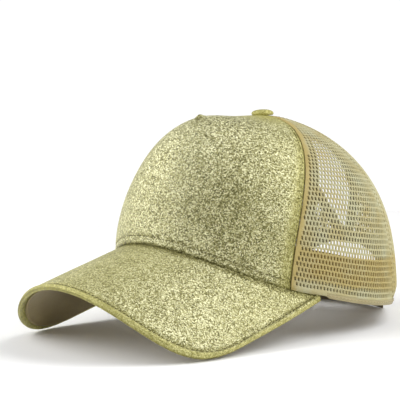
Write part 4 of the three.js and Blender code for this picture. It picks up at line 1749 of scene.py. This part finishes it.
@dataclass
class Studio:
    """The pale floor, the soft lights and the camera at the photograph's angle.

    Angles are in degrees, the sensor and the lens in millimetres, and the rest in metres.

    Attributes:
        azimuth: The camera's direction from the front.
        elevation: Its height above the horizon.
        roll: Its turn about its own axis.
        distance: From the camera to its target.
        sensor: Its sensor's width.
        lens: Its focal length.
        target: The point that it looks at.
        floor: Half the floor's width.
        sky: The strength of the light from all round.
        ceiling: The ceiling's brightness, where the paper's is 1.
        lights: Each light's name, place and power in watts.
        light_size: Each light's width.
        aim: The point that the lights face.
    """

    azimuth: float = 50.43
    elevation: float = 4.98
    roll: float = -2.70
    distance: float = 1.020
    sensor: float = 36.0
    lens: float = 1515.3 / 400 * 36
    target: tuple[float, float, float] = (-0.0406, 0.02625, 0.07817)
    floor: float = 0.6
    sky: float = 1.05
    ceiling: float = 0.24
    lights: Sequence[tuple[str, tuple[float, float, float], float]] = (
        ("Left", (-0.68, -1.21, 0.86), 11.6),
        ("Left_back", (-0.98, -0.58, 1.19), 9.6),
        ("Right", (1.13, 0.66, 0.98), 11.0),
        ("Right_back", (0.45, 0.80, 1.37), 9.6),
    )
    light_size: float = 0.9
    aim: tuple[float, float, float] = (0.0, 0.0, 0.06)

    def _camera(self) -> None:
        """Places the camera."""
        a, e, r = (radians(x) for x in (self.azimuth, self.elevation, self.roll))
        back = Vector((sin(a) * cos(e), -cos(a) * cos(e), sin(e)))
        right = Vector((cos(a), sin(a), 0))
        up = back.cross(right)
        turned_right = right * cos(r) + up * sin(r)
        turned_up = up * cos(r) - right * sin(r)
        data = bpy.data.cameras.new("Camera")
        data.lens, data.sensor_width = self.lens, self.sensor
        data.clip_start, data.clip_end = 0.02, 20
        camera = added("Camera", data)
        axes = Matrix([turned_right, turned_up, back]).transposed().to_4x4()
        camera.matrix_world = Matrix.Translation(Vector(self.target) + back * self.distance) @ axes
        bpy.context.scene.camera = camera

    def _light(self, name: str, place: tuple[float, float, float], power: float) -> None:
        """A soft square light that faces the cap."""
        data = bpy.data.lights.new(name, "AREA")
        data.shape, data.size, data.energy = "SQUARE", self.light_size, power
        light = added(name, data)
        light.location = place
        light.rotation_mode = "QUATERNION"
        aim = Vector(self.aim) - Vector(place)
        light.rotation_quaternion = aim.to_track_quat("-Z", "Y")

    def _sky(self) -> bpy.types.World:
        """White paper round the horizon, and a dimmer ceiling."""
        shader = Shader("Studio", world=True)
        inputs = {"Vector": shader.coordinates("Generated")}
        parts = shader.node("ShaderNodeSeparateXYZ", None, inputs)
        climb = Value(shader, parts.outputs["Z"]).within(0.14, 0.4)
        colour = shader.mix(climb, (1.0, 1.0, 1.0), (self.ceiling,) * 3)
        return shader.finish(Color=colour, Strength=self.sky)

    def build(self) -> None:
        """Makes the floor, the lights and the camera."""
        self._camera()
        bm = bmesh.new()
        bmesh.ops.create_grid(bm, x_segments=8, y_segments=8, size=self.floor)
        mesh = bpy.data.meshes.new("Floor")
        bm.to_mesh(mesh)
        bm.free()
        mesh.materials.append(Paper().material())
        added("Floor", mesh)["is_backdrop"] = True
        bpy.context.scene.world = self._sky()
        for light in self.lights:
            self._light(*light)
        bpy.context.scene.view_settings.view_transform = "Standard"


def corners(box: tuple[Vector, Vector]) -> list[list[float]]:
    """A box's two corners as plain lists."""
    return [list(corner) for corner in box]


def main() -> None:
    """Builds the studio, then the cap's sub-assemblies in order."""
    logging.basicConfig(level=logging.INFO, format="%(message)s")
    cad_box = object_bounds()
    maker = Maker(CapForm(), Finishes())
    openings = BackOpenings(maker)
    Studio().build()
    for part in (FrontPanel(maker), Peak(maker), Net(maker, openings), RimTrim(maker, openings)):
        part.build()
    for part in (openings, Straps(maker), Button(maker)):
        part.build()
    LOG.info("%d pieces", maker.count)
    sizes = {"cad": corners(cad_box), "visual": corners(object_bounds())}


if __name__ == "__main__":
    main()
